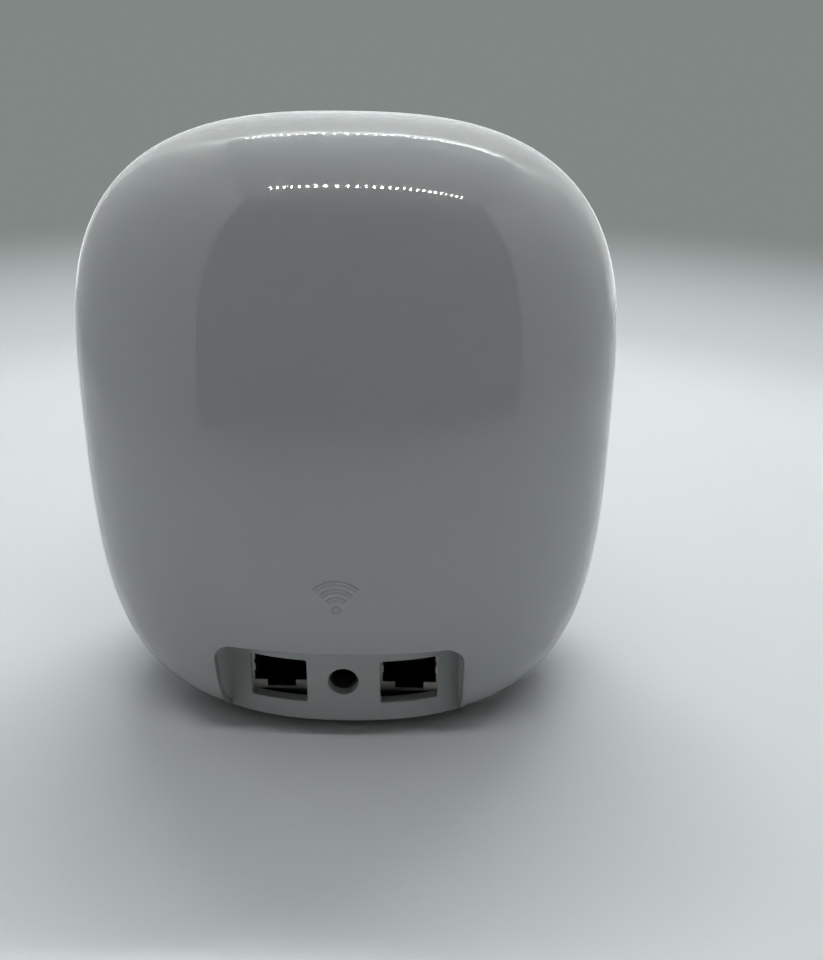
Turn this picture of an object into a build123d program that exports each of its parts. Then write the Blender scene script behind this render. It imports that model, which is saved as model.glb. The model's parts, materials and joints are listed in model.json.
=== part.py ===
from build123d import *
import math
import os

os.makedirs("parts", exist_ok=True)

# Mesh wifi node: an egg shaped housing round two boards, as separate pieces in mm.
# Origin at the centre of the footprint on the table, +Z up, front (status light)
# toward -Y, ports toward +Y.  Names ending in _X, _Y, _Z are places or half sizes
# on that axis, Z0 and Z1 are the lower and upper levels of a piece.

# ---- Housing -----------------------------------------------------
HEIGHT = 130.0          # table to crown
HALF_W = 58.5           # widest half width, x
HALF_D = 42.5           # deepest half depth, y
SECTION_POWER = 2.265   # superellipse exponent of every level section
RING_POINTS = 24        # spline points round a level section
RIM_Z = 2.5             # lower rim of the shell above the table
WALL = 2.4
CROWN_CUT = 0.012       # tiny flat left at the crown of the loft
LOFT_LEVELS = 15
SEAT_GAP = 0.05         # gap between pieces that are screwed together

# Side profiles: level of the widest section, outer and root exponents above it,
# outer and root exponents below it, length of the lower run below z = 0.
PROFILE_X = (70.374, 3.243, 2.709, 3.504, 3.351, 4.670)
PROFILE_Y = (28.141, 2.148, 2.657, 2.086, 2.093, 6.856)

# ---- Port recess, low on the back --------------------------------
RECESS_X = 26.2
RECESS_TOP = 28.5
RECESS_R = 4.4
RECESS_BELOW = 10.0     # how far the recess cutters reach below the table
CUTTER_Y = 60.0         # start of the cutters, well behind the housing
RIM_X = 40.71           # rim outline, also the outer face of the port panel
RIM_Y = 29.85

# ---- Network and power jacks -------------------------------------
JACK_X = 14.6
JACK_W = 15.4
JACK_MOUTH_Y = 24.2
JACK_LEN = 21.0
JACK_Z0 = 6.9
JACK_Z1 = 20.1
JACK_H = JACK_Z1 - JACK_Z0
JACK_MID_Z = (JACK_Z0 + JACK_Z1) / 2
DC_Z = 12.96            # axis of the power jack

# ---- Base, boards and frame --------------------------------------
COVER_Z0 = 2.6
COVER_T = 1.6
COVER_TOP = COVER_Z0 + COVER_T
LUG_X = 34.5
LUG_PAD_H = 0.4
LUG_Z0 = COVER_TOP + LUG_PAD_H + SEAT_GAP
POST_R = 3.0
BUTTON_Y = -5.2
BUTTON_R = 2.5

IO_Z0 = 5.3
IO_TOP = IO_Z0 + 1.6
MAIN_Y0 = -2.0          # front face of the main board
MAIN_T = 1.6
MAIN_Y1 = MAIN_Y0 + MAIN_T
MAIN_Z0 = 9.0
MAIN_Z1 = 108.0
LIGHT_Z = 27.0

FRAME_INSET = 3.4       # outer face of the frame from the outside of the shell
FRAME_Y = 9.0
FEED_Z = 62.0           # level of the side cable holes in the frame
FEED_X = 22.0           # place of the top cable holes in the frame

# ---- Screws ------------------------------------------------------
SCREW_R = 1.2
HEAD_R = 2.2
THREAD_R = SCREW_R + 0.03
CLEAR_R = SCREW_R + 0.2


def both_sides(*spots):
    """Each spot followed by its mirror image at -x."""
    return [(side * x, y) for x, y in spots for side in (1, -1)]


POST_SPOTS = both_sides((31.0, 13.0), (31.0, -13.0))        # x, y
LUG_SPOTS = both_sides((LUG_X, 0))                          # x, y
BOARD_SPOTS = both_sides((35.5, 40), (35.5, 90))            # x, z
SPREADER_SPOTS = both_sides((27, 38), (27, 98))             # x, z


# ------------------------------------------------------------------
# Helpers
# ------------------------------------------------------------------
def at_x(x):
    """Plane facing +X; sketch coordinates are (y, z)."""
    return Plane.YZ.offset(x)


def at_y(y):
    """Plane facing -Y, so a positive extrusion runs forward; coordinates (x, z)."""
    return Plane.XZ.offset(-y)


def at_z(z):
    """Plane facing +Z; coordinates (x, y)."""
    return Plane.XY.offset(z)


def half_size(z, full, profile, height):
    """Half size of the housing at a level, from its full half size."""
    wide_z, up_outer, up_root, low_outer, low_root, run_below = profile
    if z >= wide_z:
        return full * (1 - ((z - wide_z) / (height - wide_z)) ** up_outer) ** (1 / up_root)
    return full * (1 - ((wide_z - z) / (wide_z + run_below)) ** low_outer) ** (1 / low_root)


def level_size(z, inset):
    """Half width and half depth at a level, on an outline inset from the shell."""
    top = HEIGHT - inset
    return (half_size(z, HALF_W - inset, PROFILE_X, top),
            half_size(z, HALF_D - inset, PROFILE_Y, top))


def ring_points(half_x, half_y):
    """Points round a superellipse."""
    points = []
    for i in range(RING_POINTS):
        angle = 2 * math.pi * i / RING_POINTS
        cosine, sine = math.cos(angle), math.sin(angle)
        reach = (abs(cosine) ** SECTION_POWER
                 + abs(sine) ** SECTION_POWER) ** (-1 / SECTION_POWER)
        points.append((half_x * reach * cosine, half_y * reach * sine))
    return points


def housing_solid(inset, low_z):
    """Solid of the housing outline, inset from the outside of the shell."""
    loft_top = HEIGHT - inset - CROWN_CUT
    with BuildPart() as body:
        for i in range(LOFT_LEVELS):
            # levels crowd together toward the crown
            rise = math.sin(i / (LOFT_LEVELS - 1) * math.pi / 2) ** 0.9
            z = low_z + (loft_top - low_z) * rise
            with BuildSketch(at_z(z)):
                with BuildLine():
                    Spline(*ring_points(*level_size(z, inset)), periodic=True)
                make_face()
        loft()
    return body.part


def save(builder, label):
    builder.part.label = label
    export_step(builder.part, "parts/" + label + ".step")


def save_mirrored(part, label):
    """Write the twin of a piece on the other side of x = 0."""
    with BuildPart() as twin:
        mirror(part, about=Plane.YZ)
    save(twin, label)


def save_blocks(label, plane, spots, width, height, corner, thickness):
    """Write equal rounded blocks that stand on a plane."""
    with BuildPart() as blocks:
        with BuildSketch(plane):
            with Locations(*spots):
                RectangleRounded(width, height, corner)
        extrude(amount=thickness)
    save(blocks, label)


outside = housing_solid(0.0, RIM_Z)
cavity = housing_solid(WALL, RIM_Z - 0.4)
bezel_limit = housing_solid(WALL + 0.08, RIM_Z - 0.5)

# ------------------------------------------------------------------
# Outer shell: one piece housing, open underneath, with two screw lugs
# inside, a notch for the port recess, a hole for the status light and
# a debossed wireless mark on the back.
# ------------------------------------------------------------------
LUG_R = 2.9
LUG_TOP = 12.0
LUG_BORE = 6.0
LUG_WEB_LEN = 12.0      # web from the lug out to the wall
LUG_WEB_T = 2.0
LIGHT_HOLE_R = 1.3
MARK_SKIN_Y = 42.29     # back of the shell at the mark
MARK_DEPTH = 0.14
MARK_Z = 42.1
MARK_TILT = 0.030       # slope of the wall there, z per y of its normal
MARK_DOT_R = 0.85
MARK_DOT_DROP = 3.0     # centre of dot and arcs below the middle of the mark
MARK_ARCS = ((2.1, 2.9), (3.9, 4.7), (5.7, 6.5))    # inner and outer radius

mark_plane = Plane(origin=(0, MARK_SKIN_Y - MARK_DEPTH, MARK_Z), x_dir=(-1, 0, 0),
                   z_dir=(0, 1, MARK_TILT))
with BuildPart() as outer_shell:
    add(outside)
    add(cavity, mode=Mode.SUBTRACT)
    with BuildSketch(at_z(LUG_Z0)):
        with Locations(*LUG_SPOTS):
            Circle(LUG_R)
        with Locations(*both_sides((LUG_X + LUG_WEB_LEN / 2, 0))):
            Rectangle(LUG_WEB_LEN, LUG_WEB_T)
    extrude(amount=LUG_TOP - LUG_Z0)
    with BuildSketch(at_z(LUG_Z0)):
        with Locations(*LUG_SPOTS):
            Circle(THREAD_R)
    extrude(amount=LUG_BORE, mode=Mode.SUBTRACT)
    # trim the webs to the outside of the shell
    add(outside, mode=Mode.INTERSECT)
    with BuildSketch(at_y(CUTTER_Y)):
        with Locations((0, (RECESS_TOP - RECESS_BELOW) / 2)):
            RectangleRounded(2 * RECESS_X, RECESS_TOP + RECESS_BELOW, RECESS_R)
    extrude(amount=45, mode=Mode.SUBTRACT)
    with BuildSketch(at_y(-34)):
        with Locations((0, LIGHT_Z)):
            Circle(LIGHT_HOLE_R)
    extrude(amount=12, mode=Mode.SUBTRACT)
    with BuildSketch(mark_plane):
        with Locations((0, -MARK_DOT_DROP)):
            Circle(MARK_DOT_R)
        diagonal = math.sqrt(0.5)
        for inner_r, outer_r in MARK_ARCS:
            with BuildLine():
                CenterArc((0, -MARK_DOT_DROP), outer_r, 45, 90)
                CenterArc((0, -MARK_DOT_DROP), inner_r, 45, 90)
                for side in (1, -1):
                    Line((side * inner_r * diagonal, -MARK_DOT_DROP + inner_r * diagonal),
                         (side * outer_r * diagonal, -MARK_DOT_DROP + outer_r * diagonal))
            make_face()
    extrude(amount=2.0, mode=Mode.SUBTRACT)
save(outer_shell, "outer_shell")

# ------------------------------------------------------------------
# Port bezel: liner of the recess with a curved panel that follows the rim.
# ------------------------------------------------------------------
LINER_T = 1.1
PANEL_T = 2.4
PANEL_OVERLAP = 0.05    # panel blank stays this far inside the recess outline
JACK_GAP = 0.1
JACK_SLACK = 0.4        # extra width and height of the jack clearance
PORT_W = 12.9
PORT_Z0 = 7.2
PORT_Z1 = 18.1
PORT_R = 0.5
DC_HOLE_R = 3.35

with BuildPart() as pocket:
    with BuildSketch(at_y(CUTTER_Y)):
        with Locations((0, (RECESS_TOP - RECESS_BELOW) / 2)):
            RectangleRounded(2 * RECESS_X, RECESS_TOP + RECESS_BELOW, RECESS_R)
    extrude(amount=42)
    with BuildSketch(at_z(-12)):
        with BuildLine():
            Spline(*ring_points(RIM_X, RIM_Y), periodic=True)
        make_face()
    extrude(amount=60, mode=Mode.SUBTRACT)

with BuildPart() as panel_blank:
    with BuildSketch(at_y(CUTTER_Y)):
        with Locations((0, (RECESS_TOP - RECESS_BELOW) / 2 - PANEL_OVERLAP)):
            RectangleRounded(2 * (RECESS_X - PANEL_OVERLAP), RECESS_TOP + RECESS_BELOW,
                             RECESS_R - PANEL_OVERLAP)
    extrude(amount=40)
    with BuildSketch(at_z(RIM_Z)):
        with BuildLine():
            Spline(*ring_points(RIM_X, RIM_Y), periodic=True)
        make_face()
    extrude(amount=40, mode=Mode.INTERSECT)

with BuildPart() as port_bezel:
    liner_top = RECESS_TOP + LINER_T
    with BuildSketch(at_y(CUTTER_Y)):
        with Locations((0, (liner_top - RECESS_BELOW) / 2)):
            RectangleRounded(2 * (RECESS_X + LINER_T), liner_top + RECESS_BELOW,
                             RECESS_R + LINER_T)
        # cut level with the rim
        with Locations((0, RIM_Z - 14)):
            Rectangle(80, 28, mode=Mode.SUBTRACT)
    extrude(amount=40)
    add(bezel_limit, mode=Mode.INTERSECT)
    add(panel_blank.part)
    with BuildSketch(at_z(-2)):
        with BuildLine():
            Spline(*ring_points(RIM_X - PANEL_T, RIM_Y - PANEL_T), periodic=True)
        make_face()
    extrude(amount=40, mode=Mode.SUBTRACT)
    add(pocket.part, mode=Mode.SUBTRACT)
    with BuildSketch(at_y(40)):
        with Locations(*both_sides((JACK_X, (PORT_Z0 + PORT_Z1) / 2))):
            RectangleRounded(PORT_W, PORT_Z1 - PORT_Z0, PORT_R)
        with Locations((0, DC_Z)):
            Circle(DC_HOLE_R)
    extrude(amount=25, mode=Mode.SUBTRACT)
    # room for the network jacks behind the panel
    with BuildSketch(at_y(JACK_MOUTH_Y + JACK_GAP)):
        with Locations(*both_sides((JACK_X, JACK_MID_Z))):
            Rectangle(JACK_W + JACK_SLACK, JACK_H + JACK_SLACK)
    extrude(amount=10, mode=Mode.SUBTRACT)
save(port_bezel, "port_bezel")

# ------------------------------------------------------------------
# Base cover: closes the housing from below, carries the spacer pads,
# the screw seats, the label recess and the reset button hole.
# ------------------------------------------------------------------
COVER_X = 38.15
COVER_Y = 27.3
LUG_PAD_R = 2.8
HEAD_SEAT_R = HEAD_R + 0.15
HEAD_SEAT_DEPTH = 1.0
LABEL_Y = 6.5
LABEL_W = 34.0          # label recess
LABEL_D = 11.0

with BuildPart() as base_cover:
    with BuildSketch(at_z(COVER_Z0)):
        with BuildLine():
            Spline(*ring_points(COVER_X, COVER_Y), periodic=True)
        make_face()
    extrude(amount=COVER_T)
    with BuildSketch(at_z(COVER_TOP)):
        with Locations(*POST_SPOTS):
            Circle(POST_R)
    extrude(amount=IO_Z0 - COVER_TOP)
    with BuildSketch(at_z(COVER_TOP)):
        with Locations(*LUG_SPOTS):
            Circle(LUG_PAD_R)
    extrude(amount=LUG_PAD_H)
    with BuildSketch(at_z(COVER_Z0)):
        with Locations(*(POST_SPOTS + LUG_SPOTS)):
            Circle(HEAD_SEAT_R)
    extrude(amount=HEAD_SEAT_DEPTH, mode=Mode.SUBTRACT)
    with BuildSketch(at_z(COVER_Z0)):
        with Locations(*(POST_SPOTS + LUG_SPOTS)):
            Circle(CLEAR_R)
        with Locations((0, BUTTON_Y)):
            Circle(BUTTON_R + 0.05)
    extrude(amount=5, mode=Mode.SUBTRACT)
    with BuildSketch(at_z(COVER_Z0)):
        with Locations((0, LABEL_Y)):
            RectangleRounded(LABEL_W, LABEL_D, 1.5)
    extrude(amount=0.3, mode=Mode.SUBTRACT)
save(base_cover, "base_cover")

# Blank rating label, 0.3 clear of its recess all round.
save_blocks("base_label", at_z(COVER_Z0 + 0.1), [(0, LABEL_Y)],
            width=LABEL_W - 0.6, height=LABEL_D - 0.6, corner=1.3, thickness=0.2)

# Foot ring: soft pad the node stands on.
FOOT_OUTER = (37.3, 26.6)   # half sizes, x and y
FOOT_INNER = (27.0, 17.0)
FOOT_CHAMFER = 0.5

with BuildPart() as foot_ring:
    with BuildSketch():
        with BuildLine():
            Spline(*ring_points(*FOOT_OUTER), periodic=True)
        make_face()
        with BuildSketch(mode=Mode.PRIVATE) as foot_hole:
            with BuildLine():
                Spline(*ring_points(*FOOT_INNER), periodic=True)
            make_face()
        add(foot_hole.sketch, mode=Mode.SUBTRACT)
    extrude(amount=COVER_Z0)
    chamfer(foot_ring.faces().sort_by(Axis.Z)[0].edges(), FOOT_CHAMFER)
save(foot_ring, "foot_ring")

# ------------------------------------------------------------------
# Reset button, pushed up from below, and the switch above it.
# ------------------------------------------------------------------
BUTTON_Z0 = 2.4
BUTTON_H = 1.85
FLANGE_R = 3.3          # keeps the button from falling out of the cover
FLANGE_T = 0.5
STEM_R = 1.5
STEM_H = 3.45
DIMPLE_R = 1.5
DIMPLE_DEPTH = 0.3
SWITCH_Z0 = 9.2
SWITCH_H = 4.0
SWITCH_BORE_DEPTH = 1.6
PLUNGER_R = 1.7
PLUNGER_Z0 = 7.7
PLUNGER_H = 2.5

with BuildPart() as reset_button:
    with BuildSketch(at_z(BUTTON_Z0)):
        with Locations((0, BUTTON_Y)):
            Circle(BUTTON_R)
    extrude(amount=BUTTON_H)
    with BuildSketch(at_z(COVER_TOP + 0.05)):
        with Locations((0, BUTTON_Y)):
            Circle(FLANGE_R)
    extrude(amount=FLANGE_T)
    with BuildSketch(at_z(COVER_TOP)):
        with Locations((0, BUTTON_Y)):
            Circle(STEM_R)
    extrude(amount=STEM_H)
    with BuildSketch(at_z(BUTTON_Z0)):
        with Locations((0, BUTTON_Y)):
            Circle(DIMPLE_R)
    extrude(amount=DIMPLE_DEPTH, mode=Mode.SUBTRACT)
    chamfer(reset_button.faces().sort_by(Axis.Z)[0].edges()
            .filter_by(GeomType.CIRCLE), 0.2)
save(reset_button, "reset_button")

with BuildPart() as reset_switch_body:
    with BuildSketch(at_z(SWITCH_Z0)):
        with Locations((0, BUTTON_Y)):
            RectangleRounded(6.0, 6.2, 0.4)
    extrude(amount=SWITCH_H)
    with BuildSketch(at_z(SWITCH_Z0)):
        with Locations((0, BUTTON_Y)):
            Circle(PLUNGER_R + 0.05)
    extrude(amount=SWITCH_BORE_DEPTH, mode=Mode.SUBTRACT)
save(reset_switch_body, "reset_switch_body")

with BuildPart() as reset_switch_plunger:
    with BuildSketch(at_z(PLUNGER_Z0)):
        with Locations((0, BUTTON_Y)):
            Circle(PLUNGER_R)
    extrude(amount=PLUNGER_H)
    chamfer(reset_switch_plunger.faces().sort_by(Axis.Z)[0].edges(), 0.2)
save(reset_switch_plunger, "reset_switch_plunger")

# ------------------------------------------------------------------
# Level I/O board, cut clear of lugs, posts and reset button, and the
# upright main board, which has a narrower tongue at its foot.
# ------------------------------------------------------------------
IO_X = 36.5
IO_Y = 25.8
LUG_CLEAR_R = 4.2
MAIN_X = 38.0
SHOULDER_Z = 24.0       # lower edge of the wide part of the main board
TONGUE_W = 56.0
TONGUE_TOP = 30.0       # the tongue overlaps the wide part up to here

with BuildPart() as io_board:
    with BuildSketch(at_z(IO_Z0)):
        with BuildLine():
            Spline(*ring_points(IO_X, IO_Y), periodic=True)
        make_face()
        with Locations(*LUG_SPOTS):
            Circle(LUG_CLEAR_R, mode=Mode.SUBTRACT)
        with Locations(*both_sides((LUG_X + 5, 0))):
            Rectangle(10, 2 * LUG_CLEAR_R, mode=Mode.SUBTRACT)
        with Locations(*POST_SPOTS):
            Circle(1.5, mode=Mode.SUBTRACT)
        with Locations((0, BUTTON_Y)):
            Circle(3.8, mode=Mode.SUBTRACT)
    extrude(amount=IO_TOP - IO_Z0)
save(io_board, "io_board")

with BuildPart() as main_board:
    with BuildSketch(at_y(MAIN_Y1)):
        with Locations((0, (SHOULDER_Z + MAIN_Z1) / 2)):
            RectangleRounded(2 * MAIN_X, MAIN_Z1 - SHOULDER_Z, 5)
        with Locations((0, (MAIN_Z0 + TONGUE_TOP) / 2)):
            RectangleRounded(TONGUE_W, TONGUE_TOP - MAIN_Z0, 1.0)
        with Locations(*BOARD_SPOTS):
            Circle(1.4, mode=Mode.SUBTRACT)
        with Locations(*SPREADER_SPOTS):
            Circle(1.5, mode=Mode.SUBTRACT)
    extrude(amount=MAIN_T)
save(main_board, "main_board")

# ---- Board to board connector: two slotted bodies and a row of pins ----
CONNECTOR_Y = 1.1
CONNECTOR_W = 30.0
CONNECTOR_SLOT = (28.0, 0.9)
PIN_PITCH = 1.27
PIN_COUNT = 20
PIN_SIDE = 0.5

for label, low_z, depth, height in (
        ("board_connector_header", IO_TOP, 3.2, 1.9),
        ("board_connector_socket", MAIN_Z0, 2.9, 4.5)):
    with BuildPart() as connector_body:
        with BuildSketch(at_z(low_z)):
            with Locations((0, CONNECTOR_Y)):
                Rectangle(CONNECTOR_W, depth)
                Rectangle(*CONNECTOR_SLOT, mode=Mode.SUBTRACT)
        extrude(amount=height)
    save(connector_body, label)

with BuildPart() as board_connector_pins:
    with BuildSketch(at_z(IO_TOP + 0.05)):
        with Locations((0, CONNECTOR_Y)):
            with GridLocations(PIN_PITCH, 1, PIN_COUNT, 1):
                Rectangle(PIN_SIDE, PIN_SIDE)
    extrude(amount=6.0)
save(board_connector_pins, "board_connector_pins")

# ------------------------------------------------------------------
# Stacks on both faces of the main board: chips, shield can, thermal
# pad, finned heat spreader.  A face is its y and its outward direction.
# ------------------------------------------------------------------
BACK_FACE = (MAIN_Y1, 1)
FRONT_FACE = (MAIN_Y0, -1)
CAN_H = 2.4
CAN_SHEET = 0.2
PAD_T = 1.0
PROCESSOR_CAN_Z = 63.0
RADIO_CAN_Z = 70.0
SPREADER_Z = 68.5
SPREADER_T = 2.0
SPREADER_SIZE = (62.0, 71.0)
FIN_SPOTS = [(5.5 * i, SPREADER_Z) for i in range(-4, 5)]
FIN_T = 1.4
FIN_LEN = 65.0
FIN_DEPTH = 15.0
BOSS_R = 2.6

save_blocks("processor_chip", at_y(MAIN_Y1), [(0, 72)],
            width=15, height=15, corner=0.4, thickness=-1.2)
save_blocks("memory_chips", at_y(MAIN_Y1), [(-9, 53), (9, 53)],
            width=9, height=12, corner=0.3, thickness=-1.0)
save_blocks("radio_chips", at_y(MAIN_Y0), [(-11, 84), (11, 84), (0, 60)],
            width=8, height=8, corner=0.3, thickness=0.9)


def save_shield_can(label, face, z, width, height):
    """Box of thin sheet, open toward the board."""
    face_y, outward = face
    with BuildPart() as can:
        with BuildSketch(at_y(face_y)):
            with Locations((0, z)):
                RectangleRounded(width, height, 1.0)
        extrude(amount=-outward * CAN_H)
        with BuildSketch(at_y(face_y)):
            with Locations((0, z)):
                RectangleRounded(width - 2 * CAN_SHEET, height - 2 * CAN_SHEET,
                                 1.0 - CAN_SHEET)
        extrude(amount=-outward * (CAN_H - CAN_SHEET), mode=Mode.SUBTRACT)
    save(can, label)


def save_thermal_pad(label, face, z, width, height):
    face_y, outward = face
    with BuildPart() as pad:
        with BuildSketch(at_y(face_y + outward * CAN_H)):
            with Locations((0, z)):
                Rectangle(width, height)
        extrude(amount=-outward * PAD_T)
    save(pad, label)


def save_heat_spreader(label, face, hole_r, hole_depth):
    """Plate with upright fins outward and four bored bosses toward the board."""
    face_y, outward = face
    plate_y = face_y + outward * (CAN_H + PAD_T)
    with BuildPart() as spreader:
        with BuildSketch(at_y(plate_y)):
            with Locations((0, SPREADER_Z)):
                RectangleRounded(*SPREADER_SIZE, 3)
        extrude(amount=-outward * SPREADER_T)
        with BuildSketch(at_y(plate_y + outward * SPREADER_T)):
            with Locations(*FIN_SPOTS):
                RectangleRounded(FIN_T, FIN_LEN, 0.5)
        extrude(amount=-outward * FIN_DEPTH)
        with BuildSketch(at_y(face_y + outward * SEAT_GAP)):
            with Locations(*SPREADER_SPOTS):
                Circle(BOSS_R)
        extrude(amount=-outward * (CAN_H + PAD_T - SEAT_GAP))
        with BuildSketch(at_y(face_y)):
            with Locations(*SPREADER_SPOTS):
                Circle(hole_r)
        extrude(amount=-outward * hole_depth, mode=Mode.SUBTRACT)
    save(spreader, label)


save_shield_can("processor_shield_can", BACK_FACE, PROCESSOR_CAN_Z, 38, 40)
save_shield_can("radio_shield_can", FRONT_FACE, RADIO_CAN_Z, 42, 44)
save_thermal_pad("thermal_pad_rear", BACK_FACE, PROCESSOR_CAN_Z, 32, 34)
save_thermal_pad("thermal_pad_front", FRONT_FACE, RADIO_CAN_Z, 34, 36)
# the screws pass through the rear spreader and bite in the front one
save_heat_spreader("rear_heat_spreader", BACK_FACE, hole_r=CLEAR_R, hole_depth=8)
save_heat_spreader("front_heat_spreader", FRONT_FACE, hole_r=THREAD_R,
                   hole_depth=CAN_H + 2.4)

# ------------------------------------------------------------------
# Status light: LED on the main board and a stepped light pipe that
# ends flush with the outside of the shell.
# ------------------------------------------------------------------
save_blocks("status_led", at_y(MAIN_Y0), [(0, LIGHT_Z)],
            width=3.0, height=3.0, corner=0.3, thickness=0.8)

with BuildPart() as light_pipe:
    with BuildSketch(at_y(-3.2)):
        with Locations((0, LIGHT_Z)):
            Circle(2.0)
    extrude(amount=35.6)
    with BuildSketch(at_y(-38)):
        with Locations((0, LIGHT_Z)):
            Circle(LIGHT_HOLE_R - 0.05)
    extrude(amount=8)
    add(outside, mode=Mode.INTERSECT)
save(light_pipe, "light_pipe")

# ------------------------------------------------------------------
# Inner frame: antenna hoop round the boards, deck over the jacks, four
# posts down to the I/O board, four blocks that take the board screws.
# ------------------------------------------------------------------
HOOP_Z0 = 15.0
HOOP_SIDE_POINTS = 26
HOOP_FIT = 0.4          # extra half width used to fit the hoop in the housing
HOOP_T = 2.0
HOOP_REF_X = 52.0       # half width at which the hoop side is HOOP_T thick
DECK_Z0 = 21.0
DECK_T = 2.0
DECK_INSET = 3.6
DECK_HALF_Y = 16.5
BLOCK_INNER_X = 33.0
BLOCK_OUTER_X = {40: 51.8, 90: 51.2}    # by level
BLOCK_H = 8.0
BLOCK_DEPTH = 4.5
FEED_HOLE = (3.0, 2.4)  # across and along the hoop
FEED_HOLE_R = 0.6


def hoop_outline(inset, low_z, half_y):
    """Arch of (x, z) points where a band of the given half width meets the inset
    housing: up the +x side, over the crown, down the -x side."""
    low, high = 100.0, HEIGHT - inset - 0.001
    for _ in range(60):
        middle = (low + high) / 2
        if level_size(middle, inset)[1] > half_y:
            low = middle
        else:
            high = middle
    crown_z = low
    right = []
    for i in range(HOOP_SIDE_POINTS):
        rise = math.sin(i / (HOOP_SIDE_POINTS - 1) * math.pi / 2)
        z = low_z + (crown_z - low_z) * rise
        level_x, level_y = level_size(z, inset)
        share = max(0.0, 1 - (half_y / level_y) ** SECTION_POWER) ** (1 / SECTION_POWER)
        # the spline alone closes the last stretch to the crown
        if level_x * share > 6.0:
            right.append((level_x * share, z))
    return right + [(0, crown_z)] + [(-x, z) for x, z in reversed(right)]


hoop_outer = hoop_outline(FRAME_INSET, HOOP_Z0, FRAME_Y + HOOP_FIT)
hoop_inner = [(x * (1 - HOOP_T / HOOP_REF_X), z - HOOP_T * (z / HEIGHT) ** 4)
              for x, z in hoop_outer]
# lower the feet so that the hoop is open below
hoop_inner[0] = (hoop_inner[0][0], HOOP_Z0 - 1)
hoop_inner[-1] = (hoop_inner[-1][0], HOOP_Z0 - 1)

with BuildPart() as inner_frame:
    with BuildSketch(at_y(FRAME_Y)):
        with BuildLine():
            Spline(*hoop_outer)
            Line(hoop_outer[-1], hoop_outer[0])
        make_face()
    extrude(amount=2 * FRAME_Y)
    with BuildSketch(at_y(FRAME_Y + 1)):
        with BuildLine():
            Spline(*hoop_inner)
            Line(hoop_inner[-1], hoop_inner[0])
        make_face()
    extrude(amount=2 * FRAME_Y + 2, mode=Mode.SUBTRACT)
    # deck, with a slot for the main board and four windows
    with BuildSketch(at_z(DECK_Z0)):
        deck_x, deck_y = level_size(DECK_Z0, 0)
        with BuildLine():
            Spline(*ring_points(deck_x - DECK_INSET, deck_y - DECK_INSET), periodic=True)
        make_face()
        with Locations((0, 40), (0, -40)):
            Rectangle(130, 2 * (40 - DECK_HALF_Y), mode=Mode.SUBTRACT)
        with Locations((0, MAIN_Y0 + MAIN_T / 2)):
            Rectangle(57, 3.0, mode=Mode.SUBTRACT)
        with Locations(*both_sides((15, 9), (15, -9))):
            RectangleRounded(20, 9, 2, mode=Mode.SUBTRACT)
    extrude(amount=DECK_T)
    with BuildSketch(at_y(MAIN_Y0 - SEAT_GAP)):
        for level, outer_x in BLOCK_OUTER_X.items():
            with Locations(*both_sides(((BLOCK_INNER_X + outer_x) / 2, level))):
                Rectangle(outer_x - BLOCK_INNER_X, BLOCK_H)
    extrude(amount=BLOCK_DEPTH)
    with BuildSketch(at_z(IO_TOP + SEAT_GAP)):
        with Locations(*POST_SPOTS):
            Circle(POST_R)
    extrude(amount=DECK_Z0 - IO_TOP)
    with BuildSketch(at_y(MAIN_Y0)):
        with Locations(*BOARD_SPOTS):
            Circle(THREAD_R)
    extrude(amount=3.8, mode=Mode.SUBTRACT)
    with BuildSketch(at_z(IO_TOP)):
        with Locations(*POST_SPOTS):
            Circle(THREAD_R)
    extrude(amount=6.0, mode=Mode.SUBTRACT)
    # cable holes through both sides and the top
    with BuildSketch(at_x(-60)):
        with Locations((0, FEED_Z)):
            RectangleRounded(*FEED_HOLE, FEED_HOLE_R)
    extrude(amount=120, mode=Mode.SUBTRACT)
    with BuildSketch(at_z(105)):
        with Locations(*both_sides((FEED_X, 0))):
            RectangleRounded(*reversed(FEED_HOLE), FEED_HOLE_R)
    extrude(amount=25, mode=Mode.SUBTRACT)
save(inner_frame, "inner_frame")

# ------------------------------------------------------------------
# Antennas: thin stamped pieces lying on the hoop, right at +x.
# ------------------------------------------------------------------
ANTENNA_GAP = 0.03
ANTENNA_OUT = 0.30      # outer face of the sheet from the hoop
ANTENNA_Y = 6.5
SLIT_W = 1.6
SLIT_LEN = 10.2
SLIT_SHIFT = 1.5        # each slit is open at one edge of the sheet
TOP_ANTENNA_X = 21.0


def raised_hoop(rise):
    """Hoop outline moved outward in x and up in z."""
    return [(x + rise * ((x > 0) - (x < 0)), z + rise) for x, z in hoop_outer]


def antenna_sheet():
    """Sheet over the whole hoop, from which each antenna is cut."""
    outer = raised_hoop(ANTENNA_OUT)
    inner = raised_hoop(ANTENNA_GAP)
    with BuildPart() as sheet:
        with BuildSketch(at_y(ANTENNA_Y)):
            with BuildLine():
                Spline(*outer)
                Line(outer[-1], outer[0])
            make_face()
        extrude(amount=2 * ANTENNA_Y)
        with BuildSketch(at_y(ANTENNA_Y + 1)):
            with BuildLine():
                Spline(*inner)
                Line(inner[-1], inner[0])
            make_face()
        extrude(amount=2 * ANTENNA_Y + 2, mode=Mode.SUBTRACT)
    return sheet.part


with BuildPart() as antenna_right:
    add(antenna_sheet())
    with BuildSketch(at_y(8)):
        with Locations((60, FEED_Z)):
            Rectangle(60, 34)
    extrude(amount=16, mode=Mode.INTERSECT)
    with BuildSketch(at_x(30)):
        with Locations((SLIT_SHIFT, FEED_Z - 8), (-SLIT_SHIFT, FEED_Z + 8)):
            Rectangle(SLIT_LEN, SLIT_W)
        with Locations((-3.2, FEED_Z)):
            Rectangle(3.0, 6.0)
    extrude(amount=40, mode=Mode.SUBTRACT)
save(antenna_right, "antenna_right")
save_mirrored(antenna_right.part, "antenna_left")

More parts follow.
